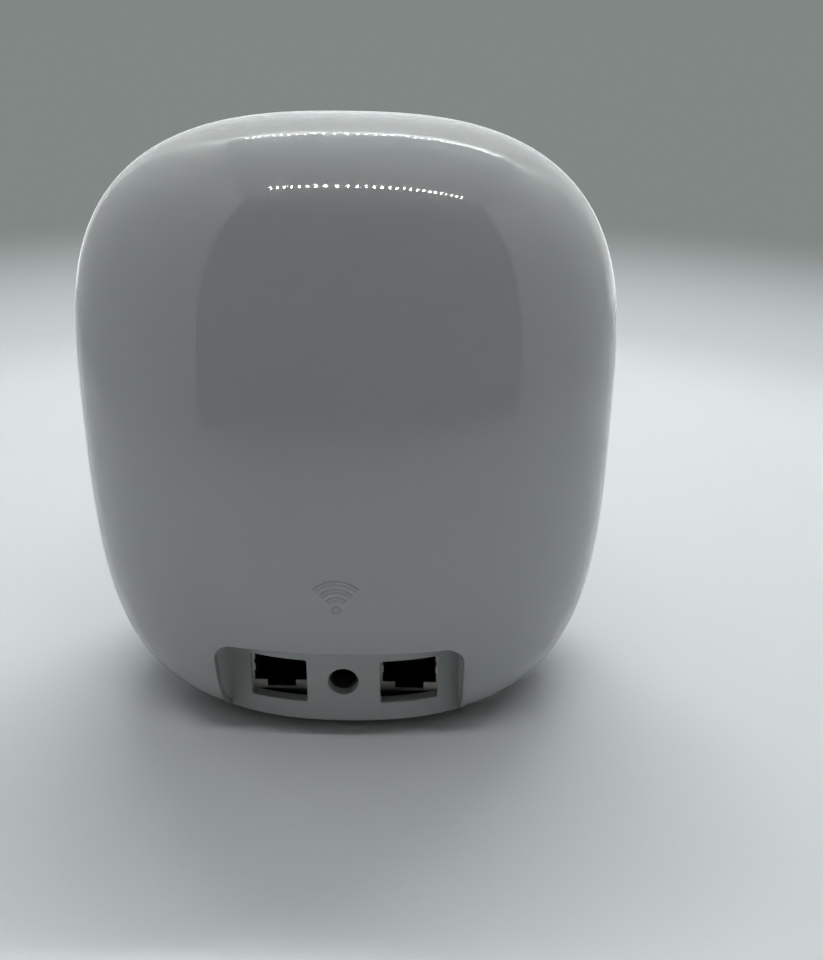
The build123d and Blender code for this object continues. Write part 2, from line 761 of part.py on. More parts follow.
with BuildPart() as antenna_top_right:
    add(antenna_sheet())
    with BuildSketch(at_z(105)):
        with Locations((TOP_ANTENNA_X, 0)):
            Rectangle(26, 16)
    extrude(amount=30, mode=Mode.INTERSECT)
    with BuildSketch(at_z(105)):
        with Locations((TOP_ANTENNA_X - 6, SLIT_SHIFT), (TOP_ANTENNA_X + 7, -SLIT_SHIFT)):
            Rectangle(SLIT_W, SLIT_LEN)
        with Locations((TOP_ANTENNA_X, -3.6)):
            Rectangle(6.0, 2.2)
    extrude(amount=30, mode=Mode.SUBTRACT)
save(antenna_top_right, "antenna_top_right")
save_mirrored(antenna_top_right.part, "antenna_top_left")

# Broken rectangular loop on the front face of the main board.
with BuildPart() as board_antenna:
    with BuildSketch(at_y(MAIN_Y0)):
        with Locations((0, 103)):
            Rectangle(14, 6)
            Rectangle(12, 4, mode=Mode.SUBTRACT)
        with Locations((5, 100.6)):
            Rectangle(3, 1.0, mode=Mode.SUBTRACT)
    extrude(amount=0.4)
save(board_antenna, "board_antenna")

# ------------------------------------------------------------------
# Coax plugs on the main board and cables from them to the antennas.
# ------------------------------------------------------------------
PLUG_R = 1.6
PLUG_H = 1.3
SIDE_PLUG = (34.4, 66.0)        # x, z
TOP_PLUG = (30.0, 104.5)
CABLE_R = 0.55
CABLE_Y = MAIN_Y0 - PLUG_H - 0.02
CABLE_END_GAP = 0.1             # cable stops this far inside the hoop outline

with BuildPart() as coax_plugs:
    with BuildSketch(at_y(MAIN_Y0)):
        with Locations(*both_sides(SIDE_PLUG, TOP_PLUG)):
            Circle(PLUG_R)
    extrude(amount=PLUG_H)
save(coax_plugs, "coax_plugs")


def hoop_x_at(level):
    """x of the hoop outline at a level, on the +x side."""
    side = [point for point in hoop_outer if point[0] > 0]
    for (low_x, low_z), (high_x, high_z) in zip(side, side[1:]):
        if low_z <= level <= high_z:
            return low_x + (high_x - low_x) * (level - low_z) / (high_z - low_z)


def hoop_z_at(across):
    """z of the hoop outline above a given x, near the crown."""
    side = [point for point in hoop_outer if point[0] >= 0 and point[1] > 90]
    for (far_x, far_z), (near_x, near_z) in zip(side, side[1:]):
        if near_x <= across <= far_x:
            return far_z + (near_z - far_z) * (far_x - across) / (far_x - near_x)


def cable(points, end_direction):
    """Round cable that leaves its plug toward the front."""
    with BuildPart() as run:
        with BuildLine() as path:
            Spline(*points, tangents=((0, -1, 0), end_direction))
        with BuildSketch(Plane(origin=points[0], z_dir=(0, -1, 0))):
            Circle(CABLE_R)
        sweep(path=path.line)
    return run.part


side_route = [(SIDE_PLUG[0], CABLE_Y, SIDE_PLUG[1]), (37.5, CABLE_Y - 2.2, 65.2),
              (43, -2.0, 62.6), (hoop_x_at(FEED_Z) - CABLE_END_GAP, 0, FEED_Z)]
top_route = [(TOP_PLUG[0], CABLE_Y, TOP_PLUG[1]), (29.5, CABLE_Y - 2.4, 108),
             (24.5, -2.0, 115), (FEED_X, 0, hoop_z_at(FEED_X) - CABLE_END_GAP)]
for prefix, route, end_direction in (("antenna_cable_", side_route, (1, 0, 0)),
                                     ("antenna_cable_top_", top_route, (0, 0, 1))):
    with BuildPart() as cable_piece:
        add(cable(route, end_direction))
    save(cable_piece, prefix + "right")
    save_mirrored(cable_piece.part, prefix + "left")

# ------------------------------------------------------------------
# Network jacks: folded metal shield, plastic insert with plug cavity
# and latch notch, eight spring wires.  Each is built at x = 0.
# ------------------------------------------------------------------
SHEET = 0.25
INSERT_GAP = 0.05
CAVITY_X = 5.95
CAVITY_Z0 = 9.2
CAVITY_Z1 = 17.2
CAVITY_H = CAVITY_Z1 - CAVITY_Z0
CAVITY_MID_Z = (CAVITY_Z0 + CAVITY_Z1) / 2
CAVITY_DEPTH = 13.0
LATCH_X = 3.25
LATCH_Z0 = 7.5
LATCH_DEPTH = 9.0
# the latch notch reaches up to the middle of the cavity
LATCH_H = CAVITY_MID_Z - LATCH_Z0
LATCH_MID_Z = (LATCH_Z0 + CAVITY_MID_Z) / 2
WIRE_PITCH = 1.02
WIRE_W = 0.46
# (y, z) outlines of the wire pocket in the insert and of one bent wire
WIRE_POCKET = ((22.2, 16.0), (22.2, 18.8), (5.0, 18.8), (5.0, 6.0),
               (5.9, 6.0), (5.9, 17.9), (12.5, 17.9), (12.5, 16.0))
WIRE_OUTLINE = ((5.3, IO_TOP + 0.1), (5.3, 18.5), (21.6, 18.5), (13.6, 13.4),
                (13.4, 13.7), (20.4, 18.2), (5.6, 18.2), (5.6, IO_TOP + 0.1))

with BuildPart() as jack_shield:
    with BuildSketch(at_y(JACK_MOUTH_Y)):
        with Locations((0, JACK_MID_Z)):
            Rectangle(JACK_W, JACK_H)
    extrude(amount=JACK_LEN)
    # hollow, open underneath
    with BuildSketch(at_y(JACK_MOUTH_Y - SHEET)):
        with Locations((0, JACK_MID_Z - SHEET / 2 - 1)):
            Rectangle(JACK_W - 2 * SHEET, JACK_H - SHEET + 2)
    extrude(amount=JACK_LEN - 2 * SHEET, mode=Mode.SUBTRACT)
    with BuildSketch(at_y(JACK_MOUTH_Y + 1)):
        with Locations((0, CAVITY_MID_Z)):
            Rectangle(2 * CAVITY_X + 0.3, CAVITY_H)
        with Locations((0, LATCH_MID_Z)):
            Rectangle(2 * LATCH_X, LATCH_H)
    extrude(amount=2, mode=Mode.SUBTRACT)
    # grounding fingers at the sides of the mouth
    with BuildSketch(at_y(JACK_MOUTH_Y - 0.05)):
        with Locations(*both_sides((CAVITY_X + 0.1, 15.6), (CAVITY_X + 0.1, 12.6))):
            Rectangle(0.36, 1.7)
    extrude(amount=0.2)
    # two windows in each side
    with BuildSketch(at_x(-10)):
        with Locations((16.5, JACK_MID_Z), (9.0, JACK_MID_Z)):
            RectangleRounded(4.0, 5.0, 0.5)
    extrude(amount=20, mode=Mode.SUBTRACT)

with BuildPart() as jack_insert:
    with BuildSketch(at_y(JACK_MOUTH_Y - SHEET - INSERT_GAP)):
        with Locations((0, JACK_MID_Z - SHEET / 2)):
            Rectangle(JACK_W - 2 * (SHEET + INSERT_GAP), JACK_H - SHEET - 2 * INSERT_GAP)
    extrude(amount=JACK_LEN - 2 * (SHEET + INSERT_GAP))
    with BuildSketch(at_y(JACK_MOUTH_Y)):
        with Locations((0, CAVITY_MID_Z)):
            Rectangle(2 * CAVITY_X, CAVITY_H)
    extrude(amount=CAVITY_DEPTH, mode=Mode.SUBTRACT)
    with BuildSketch(at_y(JACK_MOUTH_Y)):
        with Locations((0, LATCH_MID_Z)):
            Rectangle(2 * LATCH_X, LATCH_H)
    extrude(amount=LATCH_DEPTH, mode=Mode.SUBTRACT)
    # finger pockets in the mouth
    with BuildSketch(at_y(JACK_MOUTH_Y)):
        with Locations(*both_sides((CAVITY_X, 14.1))):
            Rectangle(1.0, 5.6)
    extrude(amount=1.0, mode=Mode.SUBTRACT)
    # wire pocket above the cavity, with a channel inward and down
    with BuildSketch(at_x(-4.3)):
        with BuildLine():
            Polyline(*WIRE_POCKET, close=True)
        make_face()
    extrude(amount=8.6, mode=Mode.SUBTRACT)

with BuildPart() as jack_wires:
    for i in range(8):
        with BuildSketch(at_x((i - 3.5) * WIRE_PITCH - WIRE_W / 2)):
            with BuildLine():
                Polyline(*WIRE_OUTLINE, close=True)
            make_face()
        extrude(amount=WIRE_W)

# left and right as seen from behind, facing the ports
for prefix, jack_piece in (("ethernet_shield_", jack_shield),
                           ("ethernet_insert_", jack_insert),
                           ("ethernet_contacts_", jack_wires)):
    for side_name, jack_x in (("left", JACK_X), ("right", -JACK_X)):
        with BuildPart() as placed:
            with Locations((jack_x, 0, 0)):
                add(jack_piece.part)
        save(placed, prefix + side_name)

# ------------------------------------------------------------------
# Power jack: housing, metal sleeve with a slot at the top, leaf spring
# above the slot, centre pin.
# ------------------------------------------------------------------
DC_MOUTH_Y = 27.3
DC_LEN = 14.2
DC_W = 9.0
DC_TOP = 18.6
SLEEVE_OUTER_R = 3.1
SLEEVE_INNER_R = 2.90
SLEEVE_LEN = 9.6
CENTRE_PIN_R = 1.05
CENTRE_PIN_SET = 4.0    # how far the pin sits back from the mouth
DC_FIT = 0.02           # radial clearance of sleeve and pin
# (y, z) outline of the leaf spring
SPRING_OUTLINE = ((15.5, DC_Z + 4.5), (15.5, DC_Z + 4.8), (19.0, DC_Z + 4.8),
                  (24.0, DC_Z + 3.0), (26.6, DC_Z + 3.9), (26.7, DC_Z + 3.6),
                  (24.0, DC_Z + 2.6), (19.0, DC_Z + 4.5))
SPRING_W = 1.2

with BuildPart() as dc_jack_housing:
    with BuildSketch(at_y(DC_MOUTH_Y)):
        with Locations((0, (JACK_Z0 + DC_TOP) / 2)):
            RectangleRounded(DC_W, DC_TOP - JACK_Z0, 0.4)
    extrude(amount=DC_LEN)
    with BuildSketch(at_y(DC_MOUTH_Y)):
        with Locations((0, DC_Z)):
            Circle(SLEEVE_OUTER_R + DC_FIT)
    extrude(amount=SLEEVE_LEN + 0.05, mode=Mode.SUBTRACT)
    # slot for the spring
    with BuildSketch(at_y(DC_MOUTH_Y)):
        with Locations((0, DC_Z + 3.4)):
            Rectangle(2.2, 3.0)
    extrude(amount=12.0, mode=Mode.SUBTRACT)
    with BuildSketch(at_y(DC_MOUTH_Y)):
        with Locations((0, DC_Z)):
            Circle(CENTRE_PIN_R + DC_FIT)
    extrude(amount=DC_LEN + 1, mode=Mode.SUBTRACT)
save(dc_jack_housing, "dc_jack_housing")

with BuildPart() as dc_jack_sleeve:
    with BuildSketch(at_y(DC_MOUTH_Y)):
        with Locations((0, DC_Z)):
            Circle(SLEEVE_OUTER_R)
            Circle(SLEEVE_INNER_R, mode=Mode.SUBTRACT)
        with Locations((0, DC_Z + 3)):
            Rectangle(1.6, 2, mode=Mode.SUBTRACT)
    extrude(amount=SLEEVE_LEN)
save(dc_jack_sleeve, "dc_jack_sleeve")

with BuildPart() as dc_jack_pin:
    with BuildSketch(at_y(DC_MOUTH_Y - CENTRE_PIN_SET)):
        with Locations((0, DC_Z)):
            Circle(CENTRE_PIN_R)
    extrude(amount=DC_LEN - CENTRE_PIN_SET)
    chamfer(dc_jack_pin.faces().sort_by(Axis.Y)[-1].edges(), 0.25)
save(dc_jack_pin, "dc_jack_pin")

with BuildPart() as dc_jack_spring:
    with BuildSketch(at_x(-SPRING_W / 2)):
        with BuildLine():
            Polyline(*SPRING_OUTLINE, close=True)
        make_face()
    extrude(amount=SPRING_W)
save(dc_jack_spring, "dc_jack_spring")

# ------------------------------------------------------------------
# Parts standing on the I/O board
# ------------------------------------------------------------------
save_blocks("ethernet_transformers", at_z(IO_TOP), both_sides((14, -15)),
            width=15, height=8, corner=0.4, thickness=5.5)
save_blocks("power_inductors", at_z(IO_TOP), both_sides((26.3, 4.2)) + [(0, -16)],
            width=5.4, height=5.4, corner=1.0, thickness=4.0)

with BuildPart() as bulk_capacitors:
    with BuildSketch(at_z(IO_TOP)):
        with Locations(*both_sides((24.5, -6.5))):
            Circle(3.0)
    extrude(amount=7.0)
    fillet(bulk_capacitors.edges().group_by(Axis.Z)[-1], 0.5)
save(bulk_capacitors, "bulk_capacitors")

# ------------------------------------------------------------------
# Screws with cross slots
# ------------------------------------------------------------------
SLOT_LEN = 2.2
SLOT_W = 0.5


def save_upward_screws(label, spots, shank_len):
    """Screws driven upward into the base, heads at the bottom."""
    head_z, head_h = COVER_Z0 + 0.1, 0.9
    with BuildPart() as screws:
        with BuildSketch(at_z(head_z)):
            with Locations(*spots):
                Circle(HEAD_R)
        extrude(amount=head_h)
        with BuildSketch(at_z(head_z + head_h)):
            with Locations(*spots):
                Circle(SCREW_R)
        extrude(amount=shank_len)
        with BuildSketch(at_z(head_z)):
            with Locations(*spots):
                Rectangle(SLOT_LEN, SLOT_W)
                Rectangle(SLOT_W, SLOT_LEN)
        extrude(amount=0.55, mode=Mode.SUBTRACT)
    save(screws, label)


def save_forward_screws(label, spots, seat_y, head_h, shank_len):
    """Screws driven toward the front, heads behind their seat."""
    with BuildPart() as screws:
        with BuildSketch(at_y(seat_y)):
            with Locations(*spots):
                Circle(HEAD_R)
        extrude(amount=-head_h)
        with BuildSketch(at_y(seat_y)):
            with Locations(*spots):
                Circle(SCREW_R)
        extrude(amount=shank_len)
        with BuildSketch(at_y(seat_y + head_h)):
            with Locations(*spots):
                Rectangle(SLOT_LEN, SLOT_W)
                Rectangle(SLOT_W, SLOT_LEN)
        extrude(amount=0.6, mode=Mode.SUBTRACT)
    save(screws, label)


save_upward_screws("base_screws", POST_SPOTS, shank_len=8.6)
save_upward_screws("shell_screws", LUG_SPOTS, shank_len=6.4)
save_forward_screws("board_screws", BOARD_SPOTS, seat_y=MAIN_Y1,
                    head_h=1.2, shank_len=5.0)
save_forward_screws("spreader_screws", SPREADER_SPOTS,
                    seat_y=MAIN_Y1 + CAN_H + PAD_T + SPREADER_T,
                    head_h=1.4, shank_len=11.4)
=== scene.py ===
"""A small rounded wireless network box in a light tent.

It stands on z = 0, centred on the z axis. The port side, with a notch in the shell
and a recessed bezel, faces +y; the front, with its status light, faces -y.
Shell and bezel are worked out in mm; the scene, lights and shaders are in metres.
"""
import json
import math

import bpy
import numpy as np
from mathutils import Matrix, Vector
from mathutils.geometry import delaunay_2d_cdt


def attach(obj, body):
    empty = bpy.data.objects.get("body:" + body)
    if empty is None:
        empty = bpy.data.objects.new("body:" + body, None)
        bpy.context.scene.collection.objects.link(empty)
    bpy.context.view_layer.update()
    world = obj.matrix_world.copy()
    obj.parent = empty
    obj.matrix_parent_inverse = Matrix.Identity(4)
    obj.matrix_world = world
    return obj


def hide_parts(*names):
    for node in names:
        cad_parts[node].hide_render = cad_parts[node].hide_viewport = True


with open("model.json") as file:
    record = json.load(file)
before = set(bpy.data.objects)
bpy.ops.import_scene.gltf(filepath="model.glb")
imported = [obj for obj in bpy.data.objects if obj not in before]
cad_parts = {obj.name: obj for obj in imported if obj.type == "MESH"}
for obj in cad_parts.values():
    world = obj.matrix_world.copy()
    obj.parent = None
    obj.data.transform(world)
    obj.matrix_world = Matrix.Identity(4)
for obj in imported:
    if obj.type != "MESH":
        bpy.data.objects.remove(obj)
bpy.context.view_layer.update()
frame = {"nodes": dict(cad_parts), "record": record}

# ------------------------------------------------------- dimensions, mm
POWER = 2.265                   # superellipse power of every level section
HEIGHT, HALF_X, HALF_Y = 130.0, 58.5, 42.5
RIM = 2.5                       # height of the lower rim
WALL = 2.4
# side profiles: height of the widest level, two powers of the curve above it,
# two powers of the curve below it, how far below z = 0 the lower curve ends
PROFILE_X = (70.374, 3.243, 2.709, 3.504, 3.351, 4.670)
PROFILE_Y = (28.141, 2.148, 2.657, 2.086, 2.093, 6.856)

PATCH_SHARE = 0.76              # patch round the notch: share of the half width
PATCH_TOP = 37.0
PATCH_SCALE = 57.0              # half width of the body in the flattened patch
PATCH_REACH = 44.0              # the patch grid runs this far to each side
PATCH_RIM_STEPS = 7

NOTCH_HALF, NOTCH_TOP, NOTCH_RADIUS = 26.2, 28.5, 4.4
NOTCH_ARC, NOTCH_STEP = 9, 1.2  # segments per corner, spacing on the straights
NOTCH_FILLET = 0.22
RIM_DROP = 0.12                 # lower edges bulge down by this much

PANEL_X, PANEL_Y = 40.71, 29.85  # half sizes of the curved bezel panel
BEZEL_LAP, BEZEL_GAP = 1.1, 0.03  # reach behind the shell, play in the notch
BEZEL_SINK = 0.1                # lap face below the inside of the shell
COVE = 0.55                     # fillet between bezel wall and panel
PANEL_RIM_STEPS = 40
PORT_X, PORT_Z, PORT_WIDTH, PORT_HEIGHT, PORT_RADIUS = 14.6, 12.65, 12.9, 10.9, 0.5
JACK_Z, JACK_RADIUS = 12.96, 3.35
HOLE_FILLET, HOLE_DEPTH = 0.22, 2.4
UNDERSIDE = 2.3                 # width of the panel's underside


# ----------------------------------------------------------- body shape
def half_size(z, full, profile, top):
    widest, up_in, up_out, low_in, low_out, below = profile
    z = np.asarray(z, float)
    up = np.clip((z - widest) / (top - widest), 0, 1)
    down = np.clip((widest - z) / (widest + below), 0, 1)
    upper = (1 - up ** up_in) ** (1 / up_out)
    lower = (1 - down ** low_in) ** (1 / low_out)
    return full * np.where(z >= widest, upper, lower)


def half_sizes(z, inset=0.0):
    top = HEIGHT - inset
    return (np.maximum(half_size(z, HALF_X - inset, PROFILE_X, top), 1e-4),
            np.maximum(half_size(z, HALF_Y - inset, PROFILE_Y, top), 1e-4))


def unit(vectors):
    return vectors / np.maximum(1e-12, np.linalg.norm(vectors, axis=1, keepdims=True))


def body_normals(points, inset=0.0):
    x, y, z = points[:, 0], points[:, 1], points[:, 2]
    delta = 1e-3
    z_safe = np.minimum(z, HEIGHT - inset - 4 * delta)
    half_x, half_y = half_sizes(z_safe, inset)
    over_x, over_y = half_sizes(z_safe + delta, inset)
    under_x, under_y = half_sizes(z_safe - delta, inset)
    slope_x = (over_x - under_x) / (2 * delta)
    slope_y = (over_y - under_y) / (2 * delta)
    u, v = np.abs(x) / half_x, np.abs(y) / half_y
    normals = np.stack([np.sign(x) * u ** (POWER - 1) / half_x,
                        np.sign(y) * v ** (POWER - 1) / half_y,
                        -(u ** POWER) * slope_x / half_x - (v ** POWER) * slope_y / half_y], 1)
    crown = (x ** 2 + y ** 2) < 1.0
    normals[crown & (z > 60)] = (0, 0, 1)
    return normals / np.linalg.norm(normals, axis=1, keepdims=True)


def superellipse(x, half_x, half_y):
    """The +y of a level section at x."""
    return half_y * np.clip(1 - (np.abs(x) / half_x) ** POWER, 0, 1) ** (1 / POWER)


def body_y(x, z, inset=0.0):
    return superellipse(x, *half_sizes(z, inset))


def direction_shares(angles):
    """x and y of the unit superellipse in the given directions."""
    c, s = np.cos(angles), np.sin(angles)
    reach = (np.abs(c) ** POWER + np.abs(s) ** POWER) ** (-1 / POWER)
    return reach * c, reach * s


def levels(inset, count):
    """Heights spaced evenly along the side profile."""
    top = HEIGHT - inset
    t = np.linspace(0, 1, 4001)
    z = RIM + (top - RIM) * (1 - (1 - t) ** 3)
    half_x, half_y = half_sizes(z, inset)
    steps = np.hypot(np.hypot(np.diff(z), np.diff(half_x)), 0.6 * np.diff(half_y))
    run = np.concatenate([[0], np.cumsum(steps)])
    heights = np.interp(np.linspace(0, run[-1], count), run, z)
    heights[0], heights[-1] = RIM, top
    return heights


# -------------------------------------------------------- mesh building
class Skin:
    """Collects vertices, normals and faces; faces are turned to agree
    with their normals."""

    def __init__(self):
        self.verts, self.normals, self.faces = [], [], []

    def add(self, verts, normals):
        """Add vertices and return their indexes."""
        first = len(self.verts)
        self.verts.extend([tuple(v) for v in verts])
        self.normals.extend([tuple(n) for n in normals])
        return range(first, len(self.verts))

    def face(self, ids):
        p = [np.array(self.verts[i]) for i in ids]
        if len(p) == 4:
            across = np.cross(p[2] - p[0], p[3] - p[1])
        else:
            across = np.cross(p[1] - p[0], p[2] - p[0])
        if np.linalg.norm(across) < 1e-12:
            return
        if np.dot(across, sum(np.array(self.normals[i]) for i in ids)) < 0:
            ids = list(reversed(ids))
        self.faces.append(tuple(ids))

    def strip(self, row, following, closed=False):
        count = len(row)
        for i in range(count if closed else count - 1):
            j = (i + 1) % count
            self.face([row[i], row[j], following[j], following[i]])

    def roll(self, row, curve, turn, steps, closed=False):
        """Carry a row along a quadratic curve (three point rows) while its
        normals turn from the first to the second of `turn`."""
        start, corner, end = curve
        for t in steps:
            points = (1 - t) ** 2 * start + 2 * t * (1 - t) * corner + t * t * end
            angle = math.pi / 2 * t
            following = self.add(points, unit(turn[0] * math.cos(angle)
                                              + turn[1] * math.sin(angle)))
            self.strip(row, following, closed)
            row = following
        return row

    def object(self, name, material):
        mesh = bpy.data.meshes.new(name)
        mesh.from_pydata([tuple(v) for v in (np.array(self.verts) / 1000.0)], [], self.faces)
        mesh.polygons.foreach_set("use_smooth", [True] * len(mesh.polygons))
        mesh.update()
        mesh.normals_split_custom_set_from_vertices([tuple(n) for n in self.normals])
        mesh.materials.append(material)
        ob = bpy.data.objects.new(name, mesh)
        bpy.context.scene.collection.objects.link(ob)
        return ob


def inside(points, polygon):
    x, y = points[:, 0], points[:, 1]
    result = np.zeros(len(points), bool)
    for i in range(len(polygon)):
        x0, y0 = polygon[i]
        x1, y1 = polygon[(i + 1) % len(polygon)]
        if y0 == y1:
            continue
        crosses = (y0 > y) != (y1 > y)
        result ^= crosses & (x < (x1 - x0) * (y - y0) / (y1 - y0) + x0)
    return result


def edge_distance(points, polygon):
    best = np.full(len(points), 1e9)
    for i, start in enumerate(polygon):
        side = polygon[(i + 1) % len(polygon)] - start
        t = np.clip(((points - start) @ side) / max(1e-12, side @ side), 0, 1)
        best = np.minimum(best, np.linalg.norm(points - start - t[:, None] * side, axis=1))
    return best


def grid_inside(xs, zs, polygon, gap):
    """Grid points inside a polygon, more than `gap` from its edge."""
    grid_x, grid_z = np.meshgrid(xs, zs)
    grid = np.stack([grid_x.ravel(), grid_z.ravel()], 1)
    return grid[inside(grid, polygon) & (edge_distance(grid, polygon) > gap)]


def fill_triangles(skin, points, ids, loops):
    """Triangulate flat points within the first loop and outside the others."""
    edges = []
    for loop in loops:
        edges += [(loop[i], loop[(i + 1) % len(loop)]) for i in range(len(loop))]
    verts, _, faces, origins, _, _ = delaunay_2d_cdt(
        [Vector(p) for p in points.tolist()], edges, [], 0, 1e-6, True)
    centres = np.array([[sum(verts[i][k] for i in face) / len(face) for k in (0, 1)]
                        for face in faces])
    polygons = [points[list(loop)] for loop in loops]
    wanted = inside(centres, polygons[0])
    for hole in polygons[1:]:
        wanted &= ~inside(centres, hole)
    for face, keep in zip(faces, wanted):
        if keep and all(origins[i] for i in face):
            skin.face([ids[origins[i][0]] for i in face])


# ------------------------------------------------------------- outlines
# An outline is rows of (x, z) with outward normals in the same plane.
def notch_outline():
    """Open outline from the low +x corner up, over and down to the low -x corner."""
    points, normals = [], []
    centre_x, centre_z = NOTCH_HALF - NOTCH_RADIUS, NOTCH_TOP - NOTCH_RADIUS
    rise = centre_z - RIM
    side_steps = int(rise / NOTCH_STEP)
    top_steps = int(2 * centre_x / NOTCH_STEP)

    def corner(x, start):
        for i in range(NOTCH_ARC + 1):
            a = start + math.pi / 2 * i / NOTCH_ARC
            points.append((x + NOTCH_RADIUS * math.cos(a), centre_z + NOTCH_RADIUS * math.sin(a)))
            normals.append((math.cos(a), math.sin(a)))

    for i in range(side_steps):
        points.append((NOTCH_HALF, RIM + rise * i / side_steps))
        normals.append((1, 0))
    corner(centre_x, 0)
    for i in range(1, top_steps):
        points.append((centre_x - 2 * centre_x * i / top_steps, NOTCH_TOP))
        normals.append((0, 1))
    corner(-centre_x, math.pi / 2)
    for i in range(1, side_steps + 1):
        points.append((-NOTCH_HALF, centre_z - rise * i / side_steps))
        normals.append((-1, 0))
    return np.array(points), np.array(normals)


def offset(outline, normals, distance):
    """Move the notch outline outward, with its ends kept on the rim."""
    moved = outline + normals * distance
    moved[0, 1] = moved[-1, 1] = RIM
    return moved


def port_outline(centre_x, step=0.7):
    """Closed rounded rectangle."""
    corners, directions = [], []
    for side_x, side_z, start in ((1, 1, 0), (-1, 1, 90), (-1, -1, 180), (1, -1, 270)):
        for i in range(5):
            a = math.radians(start + 90 * i / 4)
            corners.append(
                (centre_x + side_x * (PORT_WIDTH / 2 - PORT_RADIUS) + PORT_RADIUS * math.cos(a),
                 PORT_Z + side_z * (PORT_HEIGHT / 2 - PORT_RADIUS) + PORT_RADIUS * math.sin(a)))
            directions.append((math.cos(a), math.sin(a)))
    points, normals = [], []
    for i in range(len(corners)):
        j = (i + 1) % len(corners)
        start, end = np.array(corners[i]), np.array(corners[j])
        pieces = max(1, int(np.linalg.norm(end - start) / step))
        for t in range(pieces):
            points.append(start + (end - start) * t / pieces)
            normal = (np.array(directions[i]) * (1 - t / pieces)
                      + np.array(directions[j]) * t / pieces)
            normals.append(normal / np.linalg.norm(normal))
    return np.array(points), np.array(normals)


def jack_outline(count=64):
    """Closed circle."""
    a = np.linspace(0, 2 * math.pi, count, endpoint=False)
    normals = np.stack([np.cos(a), np.sin(a)], 1)
    return normals * JACK_RADIUS + np.array([0, JACK_Z]), normals


def at_y(outline, y):
    return np.stack([outline[:, 0], y, outline[:, 1]], 1)


def opening_normals(normals):
    """Normals of the wall of an opening, pointing into the opening."""
    return at_y(-normals, 0 * normals[:, 0])


# ------------------------------------------------------- shader helpers
NOISE_BAND = (0.3, 0.7)     # middle part of the noise, stretched over a range


def new_material(name):
    material = bpy.data.materials.new(name)
    material.use_nodes = True
    tree = material.node_tree
    return material, tree, tree.nodes["Principled BSDF"]


def feed(tree, node, values):
    """Link or set the node inputs given as {input: socket or value}."""
    for key, value in values.items():
        socket = node.inputs[key]
        if isinstance(value, bpy.types.NodeSocket):
            tree.links.new(value, socket)
        else:
            socket.default_value = (*value, 1) if socket.type == "RGBA" else value


def noise(tree, scale, detail=4.0, rough=0.55, stretch=None):
    source = tree.nodes.new("ShaderNodeTexCoord").outputs["Object"]
    node = tree.nodes.new("ShaderNodeTexNoise")
    feed(tree, node, {"Scale": scale, "Detail": detail, "Roughness": rough})
    if stretch:
        mapping = tree.nodes.new("ShaderNodeMapping")
        feed(tree, mapping, {"Scale": stretch, "Rotation": (0.3, 0.5, 0.7), "Vector": source})
        source = mapping.outputs["Vector"]
    feed(tree, node, {"Vector": source})
    return node.outputs["Fac"]


def span(tree, value, source, target=(0, 1), smooth=False):
    """Map the source range to the target range, clamped."""
    node = tree.nodes.new("ShaderNodeMapRange")
    if smooth:
        node.interpolation_type = "SMOOTHSTEP"
    node.clamp = True
    feed(tree, node, {1: source[0], 2: source[1], 3: target[0], 4: target[1], 0: value})
    return node.outputs[0]


def maths(tree, operation, *values):
    node = tree.nodes.new("ShaderNodeMath")
    node.operation = operation
    feed(tree, node, dict(enumerate(values)))
    return node.outputs[0]


def mix(tree, factor, first, second):
    node = tree.nodes.new("ShaderNodeMix")
    node.data_type = "RGBA"
    feed(tree, node, {0: factor, 6: first, 7: second})
    return node.outputs[2]


def split_xyz(tree, vector):
    node = tree.nodes.new("ShaderNodeSeparateXYZ")
    feed(tree, node, {0: vector})
    return node.outputs


def bump(tree, shader, height, distance):
    node = tree.nodes.new("ShaderNodeBump")
    feed(tree, node, {"Strength": 1.0, "Distance": distance, "Height": height})
    feed(tree, shader, {"Normal": node.outputs["Normal"]})


# ------------------------------------------------------------ materials
def surface(name, colour, rough, metal=0.0, var=0.06, rvar=0.08, blotch=35.0,
            grain=900.0, depth=0.00002, stretch=None, wear=None, coat=0.0):
    """Blotchy colour (var), uneven roughness (rvar), fine grain bump of the
    given depth and, with a wear colour, worn spots."""
    material, tree, shader = new_material(name)
    tone = noise(tree, scale=blotch)
    low = tuple(max(0, c * (1 - var)) for c in colour)
    high = tuple(min(1, c * (1 + var)) for c in colour)
    base = mix(tree, span(tree, tone, NOISE_BAND), low, high)
    if wear:
        spots = noise(tree, scale=160.0, detail=6.0, rough=0.7)
        base = mix(tree, span(tree, spots, source=(0.62, 0.72), target=(0, 0.5)), base, wear)
    feed(tree, shader, {"Base Color": base})
    gloss = noise(tree, scale=220.0, detail=5.0, rough=0.6, stretch=stretch)
    gloss = span(tree, gloss, NOISE_BAND, (max(0.02, rough - rvar), rough + rvar))
    feed(tree, shader, {"Roughness": gloss, "Metallic": metal, "IOR": 1.5, "Coat Weight": coat})
    bump(tree, shader, noise(tree, scale=grain, detail=3.0, rough=0.6, stretch=stretch), depth)
    return material


# sizes of the shell's marks, metres
BLUR = 0.00007                          # half width of a soft edge
SIDE_LIMIT = 0.01                       # marks lie beyond this |y|
MARK_Z, MARK_DOT = 0.0391, 0.00085      # wireless mark: centre height, dot radius
MARK_RINGS = ((0.0021, 0.0029), (0.0039, 0.0047), (0.0057, 0.0065))
LIGHT_Z, LIGHT_RADIUS, LIGHT_SEAM = 0.027, 0.00122, 0.00142


